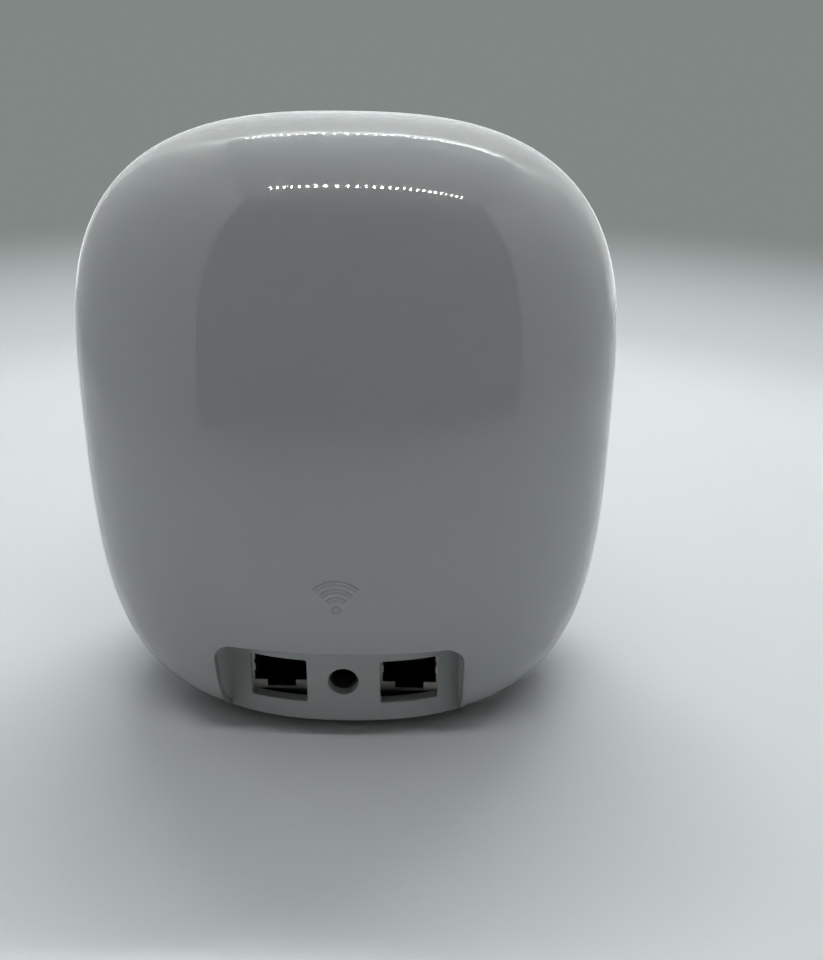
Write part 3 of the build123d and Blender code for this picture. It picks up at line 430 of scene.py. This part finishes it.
def shell_material():
    material, tree, shader = new_material("gloss_white_shell")

    def calc(operation, *values):
        return maths(tree, operation, *values)

    def radius(across, up):
        return calc("SQRT", calc("ADD", calc("MULTIPLY", across, across),
                                 calc("MULTIPLY", up, up)))

    def beyond(distance, edge):
        return span(tree, distance, (edge - BLUR, edge + BLUR), (0, 1), smooth=True)

    def within(distance, edge):
        return span(tree, distance, (edge - BLUR, edge + BLUR), (1, 0), smooth=True)

    coords = tree.nodes.new("ShaderNodeTexCoord").outputs["Object"]
    x, y, z = split_xyz(tree, coords)
    tone = span(tree, noise(tree, scale=14.0, detail=3.0), NOISE_BAND)
    colour = mix(tree, tone, (0.352, 0.361, 0.358), (0.370, 0.379, 0.376))

    # tiny dark specks in a tenth of the cells
    cells = tree.nodes.new("ShaderNodeTexVoronoi")
    feed(tree, cells, {"Scale": 62.0, "Vector": coords})
    pick = tree.nodes.new("ShaderNodeSeparateColor")
    feed(tree, pick, {0: cells.outputs["Color"]})
    size = span(tree, pick.outputs[0], source=(0.90, 1.0), target=(0.0, 0.026))
    speck = calc("LESS_THAN", cells.outputs["Distance"], size)
    colour = mix(tree, calc("MULTIPLY", speck, 0.8), colour, (0.10, 0.10, 0.09))

    # wireless mark on the port side: arcs within 45 degrees of upright, and a dot
    up = calc("SUBTRACT", z, MARK_Z)
    distance = radius(x, up)
    fan = calc("GREATER_THAN", calc("SUBTRACT", up, calc("ABSOLUTE", x)), 0.0)
    port_side = calc("GREATER_THAN", y, SIDE_LIMIT)
    mark = None
    for inner, outer in MARK_RINGS:
        ring = calc("MULTIPLY", beyond(distance, inner), within(distance, outer))
        ring = calc("MULTIPLY", ring, fan)
        mark = ring if mark is None else calc("MAXIMUM", mark, ring)
    mark = calc("MAXIMUM", mark, within(distance, MARK_DOT))
    mark = calc("MULTIPLY", mark, port_side)
    colour = mix(tree, calc("MULTIPLY", mark, 0.20), colour, (0.22, 0.22, 0.22))

    # status light: end of the light pipe, flush in its hole on the front
    distance = radius(x, calc("SUBTRACT", z, LIGHT_Z))
    front = calc("LESS_THAN", y, -SIDE_LIMIT)
    lens = calc("MULTIPLY", within(distance, LIGHT_RADIUS), front)
    seam = calc("MULTIPLY", calc("MULTIPLY", beyond(distance, LIGHT_RADIUS),
                                 within(distance, LIGHT_SEAM)), front)
    colour = mix(tree, seam, colour, (0.04, 0.04, 0.04))
    colour = mix(tree, lens, colour, (0.80, 0.81, 0.80))
    feed(tree, shader, {"Base Color": colour})

    # scuffs: fine hairlines within a few wider rubbed zones
    hair = noise(tree, scale=60.0, detail=8.0, rough=0.75, stretch=(1.0, 1.0, 9.0))
    zone = span(tree, noise(tree, scale=22.0, detail=2.0), source=(0.52, 0.66), smooth=True)
    scuff = calc("MULTIPLY", span(tree, hair, source=(0.60, 0.68)), zone)
    gloss = span(tree, noise(tree, scale=40.0, detail=4.0), NOISE_BAND, target=(0.022, 0.038))
    feed(tree, shader, {"Roughness": calc("ADD", gloss, calc("MULTIPLY", scuff, 0.10)),
                        "IOR": 1.62})
    # relief: the mark sinks in by a full step, scuffs and ripple are far weaker
    height = calc("ADD", calc("MULTIPLY", mark, -1.0),
                  calc("ADD", calc("MULTIPLY", scuff, -0.0028),
                       calc("MULTIPLY", noise(tree, scale=120.0, detail=2.0), 0.0018)))
    bump(tree, shader, height, distance=0.0005)
    return material


# slot: material name, colour, roughness, other arguments of surface()
SURFACES = {
    "bezel_matte": ("matt_white_bezel", (0.56, 0.573, 0.57), 0.42,
                    dict(var=0.02, grain=2600, depth=0.000008, rvar=0.05,
                         wear=(0.62, 0.62, 0.61))),
    "base_plastic": ("base_plastic", (0.60, 0.61, 0.61), 0.5,
                     dict(var=0.04, grain=2200, depth=0.00002)),
    # foot_silicone: the near-black colour is painted shade, making the gap under the rim read as
    # deep shadow
    "foot_silicone": ("foot_silicone", (0.09, 0.092, 0.095), 0.75,
                      dict(var=0.10, grain=1500, depth=0.00003, wear=(0.13, 0.13, 0.128))),
    "label_film": ("label_film", (0.60, 0.61, 0.61), 0.38,
                   dict(var=0.03, grain=1200, depth=0.00001)),
    "button_plastic": ("button_plastic", (0.42, 0.43, 0.44), 0.45, dict(var=0.05)),
    "switch_plastic": ("switch_plastic", (0.03, 0.03, 0.033), 0.45, dict(var=0.2)),
    "plunger_plastic": ("plunger_plastic", (0.25, 0.06, 0.05), 0.4, dict(var=0.1)),
    "board": ("solder_mask", (0.010, 0.022, 0.018), 0.32,
              dict(var=0.25, blotch=120, grain=500, depth=0.00003, coat=0.3)),
    "chip_epoxy": ("chip_epoxy", (0.02, 0.02, 0.022), 0.55, dict(var=0.2, grain=3000)),
    "shield_steel": ("tinned_steel", (0.62, 0.61, 0.58), 0.32,
                     dict(metal=1.0, var=0.06, stretch=(1, 14, 1))),
    "nickel": ("nickel", (0.90, 0.87, 0.80), 0.42,
               dict(metal=0.25, var=0.05, stretch=(1, 1, 8), wear=(0.55, 0.50, 0.42))),
    "spreader_alu": ("cast_aluminium", (0.66, 0.67, 0.68), 0.45,
                     dict(metal=1.0, var=0.06, grain=700, depth=0.00004)),
    "thermal_pad": ("thermal_pad", (0.30, 0.38, 0.50), 0.8, dict(var=0.1)),
    "light_plastic": ("light_pipe", (0.80, 0.81, 0.80), 0.15, dict(var=0.03)),
    # dc jack sleeve: dark colour is painted shade inside the jack's hole, not the metal's own
    # colour
    "sleeve_painted_shade": ("sleeve_metal_painted_shade", (0.16, 0.155, 0.15), 0.33, dict(metal=1.0, var=0.1)),
    "led": ("led_resin", (0.85, 0.80, 0.45), 0.25, dict(var=0.05)),
    "frame_plastic": ("frame_plastic", (0.06, 0.065, 0.07), 0.5, dict(var=0.15, grain=1800)),
    "antenna_copper": ("antenna_copper", (0.85, 0.50, 0.32), 0.35,
                       dict(metal=1.0, var=0.10, wear=(0.45, 0.25, 0.15))),
    "cable_jacket": ("cable_jacket", (0.03, 0.03, 0.032), 0.45, dict(var=0.15)),
    "contact_gold": ("contact_gold", (0.90, 0.68, 0.32), 0.25, dict(metal=1.0, var=0.06)),
    "connector_plastic": ("connector_black", (0.022, 0.022, 0.025), 0.42, dict(var=0.2)),
    "insert_plastic": ("insert_black", (0.012, 0.012, 0.013), 0.5, dict(var=0.2)),
    "screw_steel": ("screw_steel", (0.50, 0.50, 0.51), 0.3,
                    dict(metal=1.0, var=0.08, stretch=(6, 1, 1))),
    "transformer_black": ("transformer_black", (0.03, 0.03, 0.03), 0.5, dict(var=0.2)),
    "inductor_ferrite": ("ferrite", (0.12, 0.115, 0.115), 0.65, dict(var=0.15)),
    "capacitor_can": ("capacitor_can", (0.62, 0.63, 0.65), 0.28, dict(metal=1.0, var=0.05)),
}
MATERIALS = {slot: surface(name, colour, rough, **others)
             for slot, (name, colour, rough, others) in SURFACES.items()}
SHELL = shell_material()

# ----------------------------------------------------------- CAD pieces
# bevel widths of the pieces with softened edges, mm
BEVELS = {
    "foot_ring": 0.25, "base_cover": 0.12, "reset_button": 0.08,
    "ethernet_shield_left": 0.05, "ethernet_shield_right": 0.05,
    "ethernet_insert_left": 0.06, "ethernet_insert_right": 0.06,
    "main_board": 0.06, "io_board": 0.06, "rear_heat_spreader": 0.15,
    "front_heat_spreader": 0.15, "processor_shield_can": 0.08,
    "radio_shield_can": 0.08, "dc_jack_housing": 0.1,
}


def piece_material(name, slot):
    # the sleeve gets a darkened metal whose dark colour is painted shade in the hole
    if name == "dc_jack_sleeve":
        return MATERIALS["sleeve_painted_shade"]
    return SHELL if slot == "shell_gloss" else MATERIALS[slot]


slot_of = {part["node"]: part["material_slot"] for part in frame["record"]["subparts"]}
for name, ob in frame["nodes"].items():
    material = piece_material(name, slot_of[name])
    slots = ob.data.materials
    if not slots:
        slots.append(material)
    for i in range(len(slots)):
        slots[i] = material
    if name in BEVELS:
        bevel = ob.modifiers.new("edge", "BEVEL")
        bevel.width = BEVELS[name] / 1000.0
        bevel.segments = 2
        bevel.limit_method = "ANGLE"
        bevel.angle_limit = math.radians(40)
        bevel.use_clamp_overlap = True


# ---------------------------------------------------------- outer shell
def shell_skin(skin, inset, outline, rows, columns, cell):
    """Add the outside (inset 0) or inside skin, with the notch left open.
    Returns the vertex indexes along the notch, and round the lower rim from the
    notch's -x end past the front to its +x end."""
    heights = levels(inset, rows)
    patch_row = int(np.argmin(abs(heights - PATCH_TOP)))
    trial = np.linspace(0.2, 1.4, 4000)
    edge = trial[np.argmax(direction_shares(trial)[0] <= PATCH_SHARE)]
    port_side = np.linspace(edge, math.pi - edge, int(columns * 0.24))
    rest = np.linspace(math.pi - edge, 2 * math.pi + edge, int(columns * 0.76))
    share_x, share_y = direction_shares(np.concatenate([port_side, rest[1:-1]]))
    count, last = len(share_x), len(port_side) - 1
    sign = 1.0 if inset == 0 else -1.0

    def add(points):
        return skin.add(points, body_normals(points, inset) * sign)

    grid = -np.ones((rows, count), int)
    for i, z in enumerate(heights[:-1]):
        half_x, half_y = half_sizes(z, inset)
        used = [j for j in range(count) if i >= patch_row or j == 0 or j >= last]
        grid[i, used] = add(np.stack([half_x * share_x[used], half_y * share_y[used],
                                      np.full(len(used), z)], 1))
    for i in range(rows - 2):
        for j in range(count):
            if i < patch_row and j < last:
                continue
            k = (j + 1) % count
            skin.face([grid[i, j], grid[i, k], grid[i + 1, k], grid[i + 1, j]])
    tip = skin.add([(0, 0, heights[-1])], [(0, 0, sign)])[0]
    for j in range(count):
        skin.face([grid[rows - 2, j], grid[rows - 2, (j + 1) % count], tip])

    # patch round the notch, flattened to (share of half width * PATCH_SCALE, z)
    border = ([(i, 0) for i in range(patch_row + 1)]
              + [(patch_row, j) for j in range(1, last + 1)]
              + [(i, last) for i in range(patch_row - 1, -1, -1)])
    loop = [(share_x[j] * PATCH_SCALE, heights[i]) for i, j in border]
    ids = [grid[i, j] for i, j in border]
    half_x, _ = half_sizes(outline[:, 1], inset)
    notch = np.stack([outline[:, 0] / half_x * PATCH_SCALE, outline[:, 1]], 1)

    def rim_run(start, end):
        return [(start + (end - start) * t / PATCH_RIM_STEPS, RIM)
                for t in range(1, PATCH_RIM_STEPS)]

    def add_flat(flat):
        flat = np.array(flat)
        z = flat[:, 1]
        half_x, _ = half_sizes(z, inset)
        x = flat[:, 0] / PATCH_SCALE * half_x
        return list(add(np.stack([x, body_y(x, z, inset), z], 1)))

    rim_minus = rim_run(-share_x[0] * PATCH_SCALE, notch[-1][0])
    rim_plus = rim_run(notch[0][0], loop[0][0])
    minus_ids, notch_ids, plus_ids = add_flat(rim_minus), add_flat(notch), add_flat(rim_plus)
    loop = np.array(loop + rim_minus + [tuple(q) for q in notch[::-1]] + rim_plus)
    ids += minus_ids + notch_ids[::-1] + plus_ids
    filling = grid_inside(np.arange(-PATCH_REACH, PATCH_REACH + 0.1, cell),
                          np.arange(RIM + cell, PATCH_TOP, cell), loop, gap=0.55 * cell)
    ids += add_flat(filling)
    fill_triangles(skin, np.concatenate([loop, filling]), ids, [range(len(loop))])
    front = [grid[0, j] for j in range(last, count)] + [grid[0, 0]]
    rim = [notch_ids[-1]] + minus_ids[::-1] + front + plus_ids[::-1] + [notch_ids[0]]
    return notch_ids, rim


def run_share(points):
    """Share of the chain's length reached at each of its points."""
    steps = np.linalg.norm(np.diff(points, axis=0), axis=1)
    run = np.concatenate([[0], np.cumsum(steps)])
    return run / run[-1]


def make_shell():
    skin = Skin()
    base, normals = notch_outline()
    notch, rim_out = shell_skin(skin, 0.0, offset(base, normals, NOTCH_FILLET),
                                rows=120, columns=300, cell=1.3)
    _, rim_in = shell_skin(skin, WALL, base, rows=46, columns=110, cell=2.6)

    # rounded notch edge, then straight through the wall
    wall_normals = opening_normals(normals)
    start = np.array([skin.verts[i] for i in notch])
    start_normals = np.array([skin.normals[i] for i in notch])
    corner = at_y(base, body_y(base[:, 0], base[:, 1]))
    row = skin.roll(notch, (start, corner, corner - np.array([0, NOTCH_FILLET, 0])),
                    (start_normals, wall_normals), (0.25, 0.5, 0.75, 1.0))
    end = skin.add(at_y(base, body_y(base[:, 0], base[:, 1], WALL)), wall_normals)
    skin.strip(row, end)

    # lower rim, with the inner chain resampled to the outer count
    outer = np.array([skin.verts[i] for i in rim_out])
    inner = np.array([skin.verts[i] for i in rim_in])
    share_out, share_in = run_share(outer), run_share(inner)
    inner = np.stack([np.interp(share_out, share_in, inner[:, k]) for k in range(3)], 1)
    middle = outer + (inner - outer) * 0.22 + np.array([0, 0, -RIM_DROP])
    down = np.tile([0, 0, -1.0], (len(outer), 1))
    outer_row = skin.add(outer, np.array([skin.normals[i] for i in rim_out]))
    middle_row = skin.add(middle, down)
    inner_row = skin.add(inner, down)
    skin.strip(outer_row, middle_row)
    skin.strip(middle_row, inner_row)
    return skin.object("shell_surface", SHELL)


shell = make_shell()
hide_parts("outer_shell")
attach(shell, "body")


# ---------------------------------------------------------- port bezel
def panel_y(x, cut=0.0):
    return superellipse(x, PANEL_X - cut, PANEL_Y - cut)


def panel_normals(x):
    return unit(np.stack([np.sign(x) * (np.abs(x) / PANEL_X) ** (POWER - 1) / PANEL_X,
                          (panel_y(x) / PANEL_Y) ** (POWER - 1) / PANEL_Y, 0 * x], 1))


def on_panel(outline):
    return at_y(outline, panel_y(outline[:, 0]))


def bezel_wall(skin):
    """Lap behind the shell, wall of the recess and the cove at its foot.
    Returns the outline of the panel and its vertex indexes."""
    base, normals = notch_outline()

    def lap(distance):
        moved = offset(base, normals, distance)
        y = np.maximum(body_y(moved[:, 0], moved[:, 1], WALL) - BEZEL_SINK,
                       panel_y(base[:, 0]) - 0.001)
        return at_y(moved, y)

    lap_edge = lap(-BEZEL_GAP)
    lap_normals = body_normals(lap_edge, WALL)
    skin.strip(skin.add(lap(BEZEL_LAP), lap_normals), skin.add(lap_edge, lap_normals))

    wall = offset(base, normals, -BEZEL_GAP)
    wall_normals = opening_normals(normals)
    row = skin.add(lap_edge, wall_normals)
    foot_y = panel_y(wall[:, 0])
    cove = np.minimum(COVE, np.maximum(lap_edge[:, 1] - foot_y, 0))
    cove_top = at_y(wall, foot_y + cove)
    panel = offset(wall, normals, -cove[:, None])
    following = skin.add(cove_top, wall_normals)
    skin.strip(row, following)
    row = skin.roll(following, (cove_top, on_panel(wall), on_panel(panel)),
                    (wall_normals, panel_normals(wall[:, 0])), (0.33, 0.67))
    edge = skin.add(on_panel(panel), panel_normals(panel[:, 0]))
    skin.strip(row, edge)
    return panel, edge


def bezel_hole(skin, outline, normals):
    """Rounded edge and wall of an opening in the panel. Returns the outline
    where the rounding meets the panel, and its vertex indexes."""
    opening = outline + normals * HOLE_FILLET
    start, start_normals = on_panel(opening), panel_normals(opening[:, 0])
    edge = skin.add(start, start_normals)
    wall_normals = opening_normals(normals)
    corner = on_panel(outline)
    row = skin.roll(edge, (start, corner, corner - np.array([0, HOLE_FILLET, 0])),
                    (start_normals, wall_normals), (0.33, 0.67, 1.0), closed=True)
    end = skin.add(at_y(outline, panel_y(outline[:, 0], HOLE_DEPTH)), wall_normals)
    skin.strip(row, end, closed=True)
    return opening, edge


def make_bezel():
    skin = Skin()
    panel, edge = bezel_wall(skin)

    def add_panel(points):
        return list(skin.add(on_panel(points), panel_normals(points[:, 0])))

    # panel face with its three openings
    xs = np.linspace(panel[-1, 0], panel[0, 0], PANEL_RIM_STEPS + 2)[1:-1]
    bottom = np.stack([xs, np.full(PANEL_RIM_STEPS, RIM)], 1)
    border = np.concatenate([panel, bottom])
    ids = list(edge) + add_panel(bottom)
    flats, loops, openings = [border], [range(len(border))], []
    for outline, normals in (port_outline(PORT_X), port_outline(-PORT_X), jack_outline()):
        opening, opening_ids = bezel_hole(skin, outline, normals)
        loops.append(range(len(ids), len(ids) + len(opening)))
        ids += list(opening_ids)
        openings.append(opening)
    filling = grid_inside(np.arange(-25.6, 25.7, 1.0), np.arange(RIM + 0.8, 28, 1.0),
                          border, gap=0.5)
    for opening in openings:
        clear = ~inside(filling, opening) & (edge_distance(filling, opening) > 0.45)
        filling = filling[clear]
    ids += add_panel(filling)
    fill_triangles(skin, np.concatenate(flats + openings + [filling]), ids, loops)

    # lower edge and underside
    lower = np.concatenate([[panel[-1]], bottom, [panel[0]]])
    outer, normals = on_panel(lower), panel_normals(lower[:, 0])
    down = np.tile([0, 0, -1.0], (len(lower), 1))
    outer_row = skin.add(outer, normals)
    middle_row = skin.add(outer - normals * 0.25 + np.array([0, 0, -RIM_DROP]), down)
    inner_row = skin.add(outer - normals * UNDERSIDE, down)
    skin.strip(outer_row, middle_row)
    skin.strip(middle_row, inner_row)
    return skin.object("bezel_surface", MATERIALS["bezel_matte"])


bezel = make_bezel()
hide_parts("port_bezel")
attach(bezel, "body")

# ------------------------------------------------------- studio, metres
TENT_X, TENT_Y, TENT_TOP = (-0.547, 0.395), (-0.46, 0.462), 0.95
TENT_COVE, TENT_GAP = 0.10, 0.0005      # bend at the -y wall's foot, its lift
FLOOR_HALF = 4
LAMP_COLOUR = (0.97, 1.0, 1.0)
BACKDROP = (0.222, 0.243, 0.235)
# lamp rows: letter, x from, x to, y, strip power, dots per row, dot rows
LAMPS = (("a", -0.398, 0.292, 0.379, 2.2, 27, 2),
         ("b", -0.464, 0.333, -0.440, 6.6, 37, 1))


def matt(name, colour):
    material, tree, shader = new_material(name)
    tone = span(tree, noise(tree, scale=6.0, detail=3.0), NOISE_BAND)
    feed(tree, shader, {"Base Color": mix(tree, tone, tuple(c * 0.985 for c in colour), colour),
                        "Roughness": 0.9, "Specular IOR Level": 0.2})
    return material, tree, shader


def floor_material():
    """Away from the object the floor, for camera rays only, becomes an emission fading from pale
    to the backdrop grey: painted light fall-off.
    """
    material, tree, shader = matt("studio_floor_painted_falloff", (0.66, 0.672, 0.676))
    coords = tree.nodes.new("ShaderNodeTexCoord")
    length = tree.nodes.new("ShaderNodeVectorMath")
    length.operation = "LENGTH"
    feed(tree, length, {0: coords.outputs["Object"]})
    distance = length.outputs["Value"]
    path = tree.nodes.new("ShaderNodeLightPath")
    # painted light: past 0.22 m camera rays see a glow that fades from pale floor to backdrop
    # grey, standing in for the light falling off across the tent
    painted_falloff_share = maths(tree, "MULTIPLY", span(tree, distance, source=(0.22, 0.34), smooth=True),
                 path.outputs["Is Camera Ray"])
    glow = tree.nodes.new("ShaderNodeEmission")
    feed(tree, glow, {"Color": mix(tree, span(tree, distance, source=(0.27, 0.66), smooth=True),
                                   (0.60, 0.635, 0.65), BACKDROP)})
    blend = tree.nodes.new("ShaderNodeMixShader")
    feed(tree, blend, {0: painted_falloff_share, 1: shader.outputs[0], 2: glow.outputs[0]})
    feed(tree, tree.nodes["Material Output"], {0: blend.outputs[0]})
    return material


def wall_material():
    """The -y end of the tent glows for glossy rays only: painted light that makes it show
    brighter in reflections.
    """
    material, tree, shader = matt("studio_wall_painted_glow", (0.74, 0.75, 0.75))
    coords = tree.nodes.new("ShaderNodeTexCoord")
    y = split_xyz(tree, coords.outputs["Object"])[1]
    path = tree.nodes.new("ShaderNodeLightPath")
    # painted light: the -y end of the wall emits for glossy rays only, though it is no lamp
    far_end_painted_glow = maths(tree, "MULTIPLY", maths(tree, "LESS_THAN", y, -0.40),
                path.outputs["Is Glossy Ray"])
    feed(tree, shader, {"Emission Strength": maths(tree, "MULTIPLY", far_end_painted_glow, 0.55),
                        "Emission Color": LAMP_COLOUR})
    return material


def sheet(name, points, material, faces=((0, 1, 2, 3),), camera=False):
    mesh = bpy.data.meshes.new(name)
    mesh.from_pydata(points, [], faces)
    mesh.materials.append(material)
    ob = bpy.data.objects.new(name, mesh)
    bpy.context.scene.collection.objects.link(ob)
    ob.visible_camera = camera
    return ob


def make_tent(material):
    """Three sides and a roof, seen only by light and reflections; +y stays open."""
    (x0, x1), (y0, y1), top = TENT_X, TENT_Y, TENT_TOP
    profile = []
    for i in range(13):
        a = math.pi / 2 * i / 12
        profile.append((y0 + TENT_COVE - TENT_COVE * math.sin(a),
                        TENT_COVE - (TENT_COVE - TENT_GAP) * math.cos(a)))
    profile.append((y0, top))
    points = [(x, y, z) for y, z in profile for x in (x0, x1)]
    faces = [(2 * i, 2 * i + 1, 2 * i + 3, 2 * i + 2) for i in range(len(profile) - 1)]
    back = sheet("tent_back", points, material, faces)
    for polygon in back.data.polygons:
        polygon.use_smooth = True
    for name, x in (("tent_left", x0), ("tent_right", x1)):
        sheet(name, [(x, y0, 0), (x, y1, 0), (x, y1, top), (x, y0, top)], material)
    sheet("tent_roof", [(x0, y0, top), (x1, y0, top), (x1, y1, top), (x0, y1, top)], material)


def strip_light(name, x0, x1, y, power):
    lamp = bpy.data.lights.new(name, "AREA")
    lamp.shape = "RECTANGLE"
    lamp.size, lamp.size_y = x1 - x0, 0.012
    lamp.energy = power
    lamp.color = LAMP_COLOUR
    ob = bpy.data.objects.new(name, lamp)
    ob.location = ((x0 + x1) / 2, y, TENT_TOP - 0.012)
    bpy.context.scene.collection.objects.link(ob)
    ob.visible_glossy = False
    ob.visible_camera = False


def led_dots(name, x0, x1, y, count, rows, pitch=0.016, radius=0.0036, drop=0.015):
    """Bright octagons under the roof that show only in reflections."""
    material, tree, shader = new_material(name)
    tree.nodes.remove(shader)
    glow = tree.nodes.new("ShaderNodeEmission")
    feed(tree, glow, {"Strength": 160.0, "Color": LAMP_COLOUR})
    feed(tree, tree.nodes["Material Output"], {0: glow.outputs[0]})
    points, faces = [], []
    for row in range(rows):
        for i in range(count):
            centre_x = x0 + (x1 - x0) * (i + 0.5) / count
            centre_y = y + (row - (rows - 1) / 2) * pitch
            faces.append(tuple(range(len(points), len(points) + 8)))
            for k in range(8):
                a = math.pi / 4 * k
                points.append((centre_x + radius * math.cos(a),
                               centre_y + radius * math.sin(a), TENT_TOP - drop))
    ob = sheet(name, points, material, faces)
    ob.visible_diffuse = False
    ob.visible_shadow = False


def make_world():
    """Nearly dark room; the camera alone sees the backdrop grey."""
    world = bpy.data.worlds.new("room")
    bpy.context.scene.world = world
    world.use_nodes = True
    tree = world.node_tree
    path = tree.nodes.new("ShaderNodeLightPath")
    coords = tree.nodes.new("ShaderNodeTexCoord")
    z = split_xyz(tree, coords.outputs["Generated"])[2]
    seen = mix(tree, span(tree, z, source=(-0.02, 0.35)), BACKDROP, (0.215, 0.235, 0.228))
    colour = mix(tree, path.outputs["Is Camera Ray"], (0.012, 0.0125, 0.0125), seen)
    feed(tree, tree.nodes["Background"], {"Color": colour})


floor = floor_material()
wall = wall_material()
sheet("floor", [(x * FLOOR_HALF, y * FLOOR_HALF, 0)
                for x, y in ((-1, -1), (1, -1), (1, 1), (-1, 1))], floor, camera=True)
make_tent(wall)
for letter, x0, x1, y, power, _, _ in LAMPS:
    strip_light("strip_" + letter, x0, x1, y, power)
for letter, x0, x1, y, _, count, rows in LAMPS:
    led_dots("led_row_" + letter, x0, x1, y, count, rows)
make_world()

# --------------------------------------------------------------- camera
CAMERA_PLACE = (-0.01689, 0.21637, 0.14622)
CAMERA_RIGHT = Vector((-0.9998, -0.0166, 0.0102))
CAMERA_UP = Vector((0.0161, -0.4099, 0.9120))
CAMERA_FORWARD = Vector((0.0110, -0.9120, -0.4101))

lens = bpy.data.cameras.new("camera")
lens.sensor_width = 36.0
lens.lens = 37.99875
lens.clip_start = 0.005
camera = bpy.data.objects.new("camera", lens)
scene = bpy.context.scene
scene.collection.objects.link(camera)
turn = Matrix((CAMERA_RIGHT, CAMERA_UP, -CAMERA_FORWARD)).transposed().to_4x4()
camera.matrix_world = Matrix.Translation(CAMERA_PLACE) @ turn
scene.camera = camera
scene.view_settings.view_transform = "Standard"
scene.view_settings.look = "None"
scene.view_settings.exposure = 0.0
scene.cycles.max_bounces = 7
scene.cycles.diffuse_bounces = 3
scene.cycles.caustics_reflective = False
scene.cycles.caustics_refractive = False
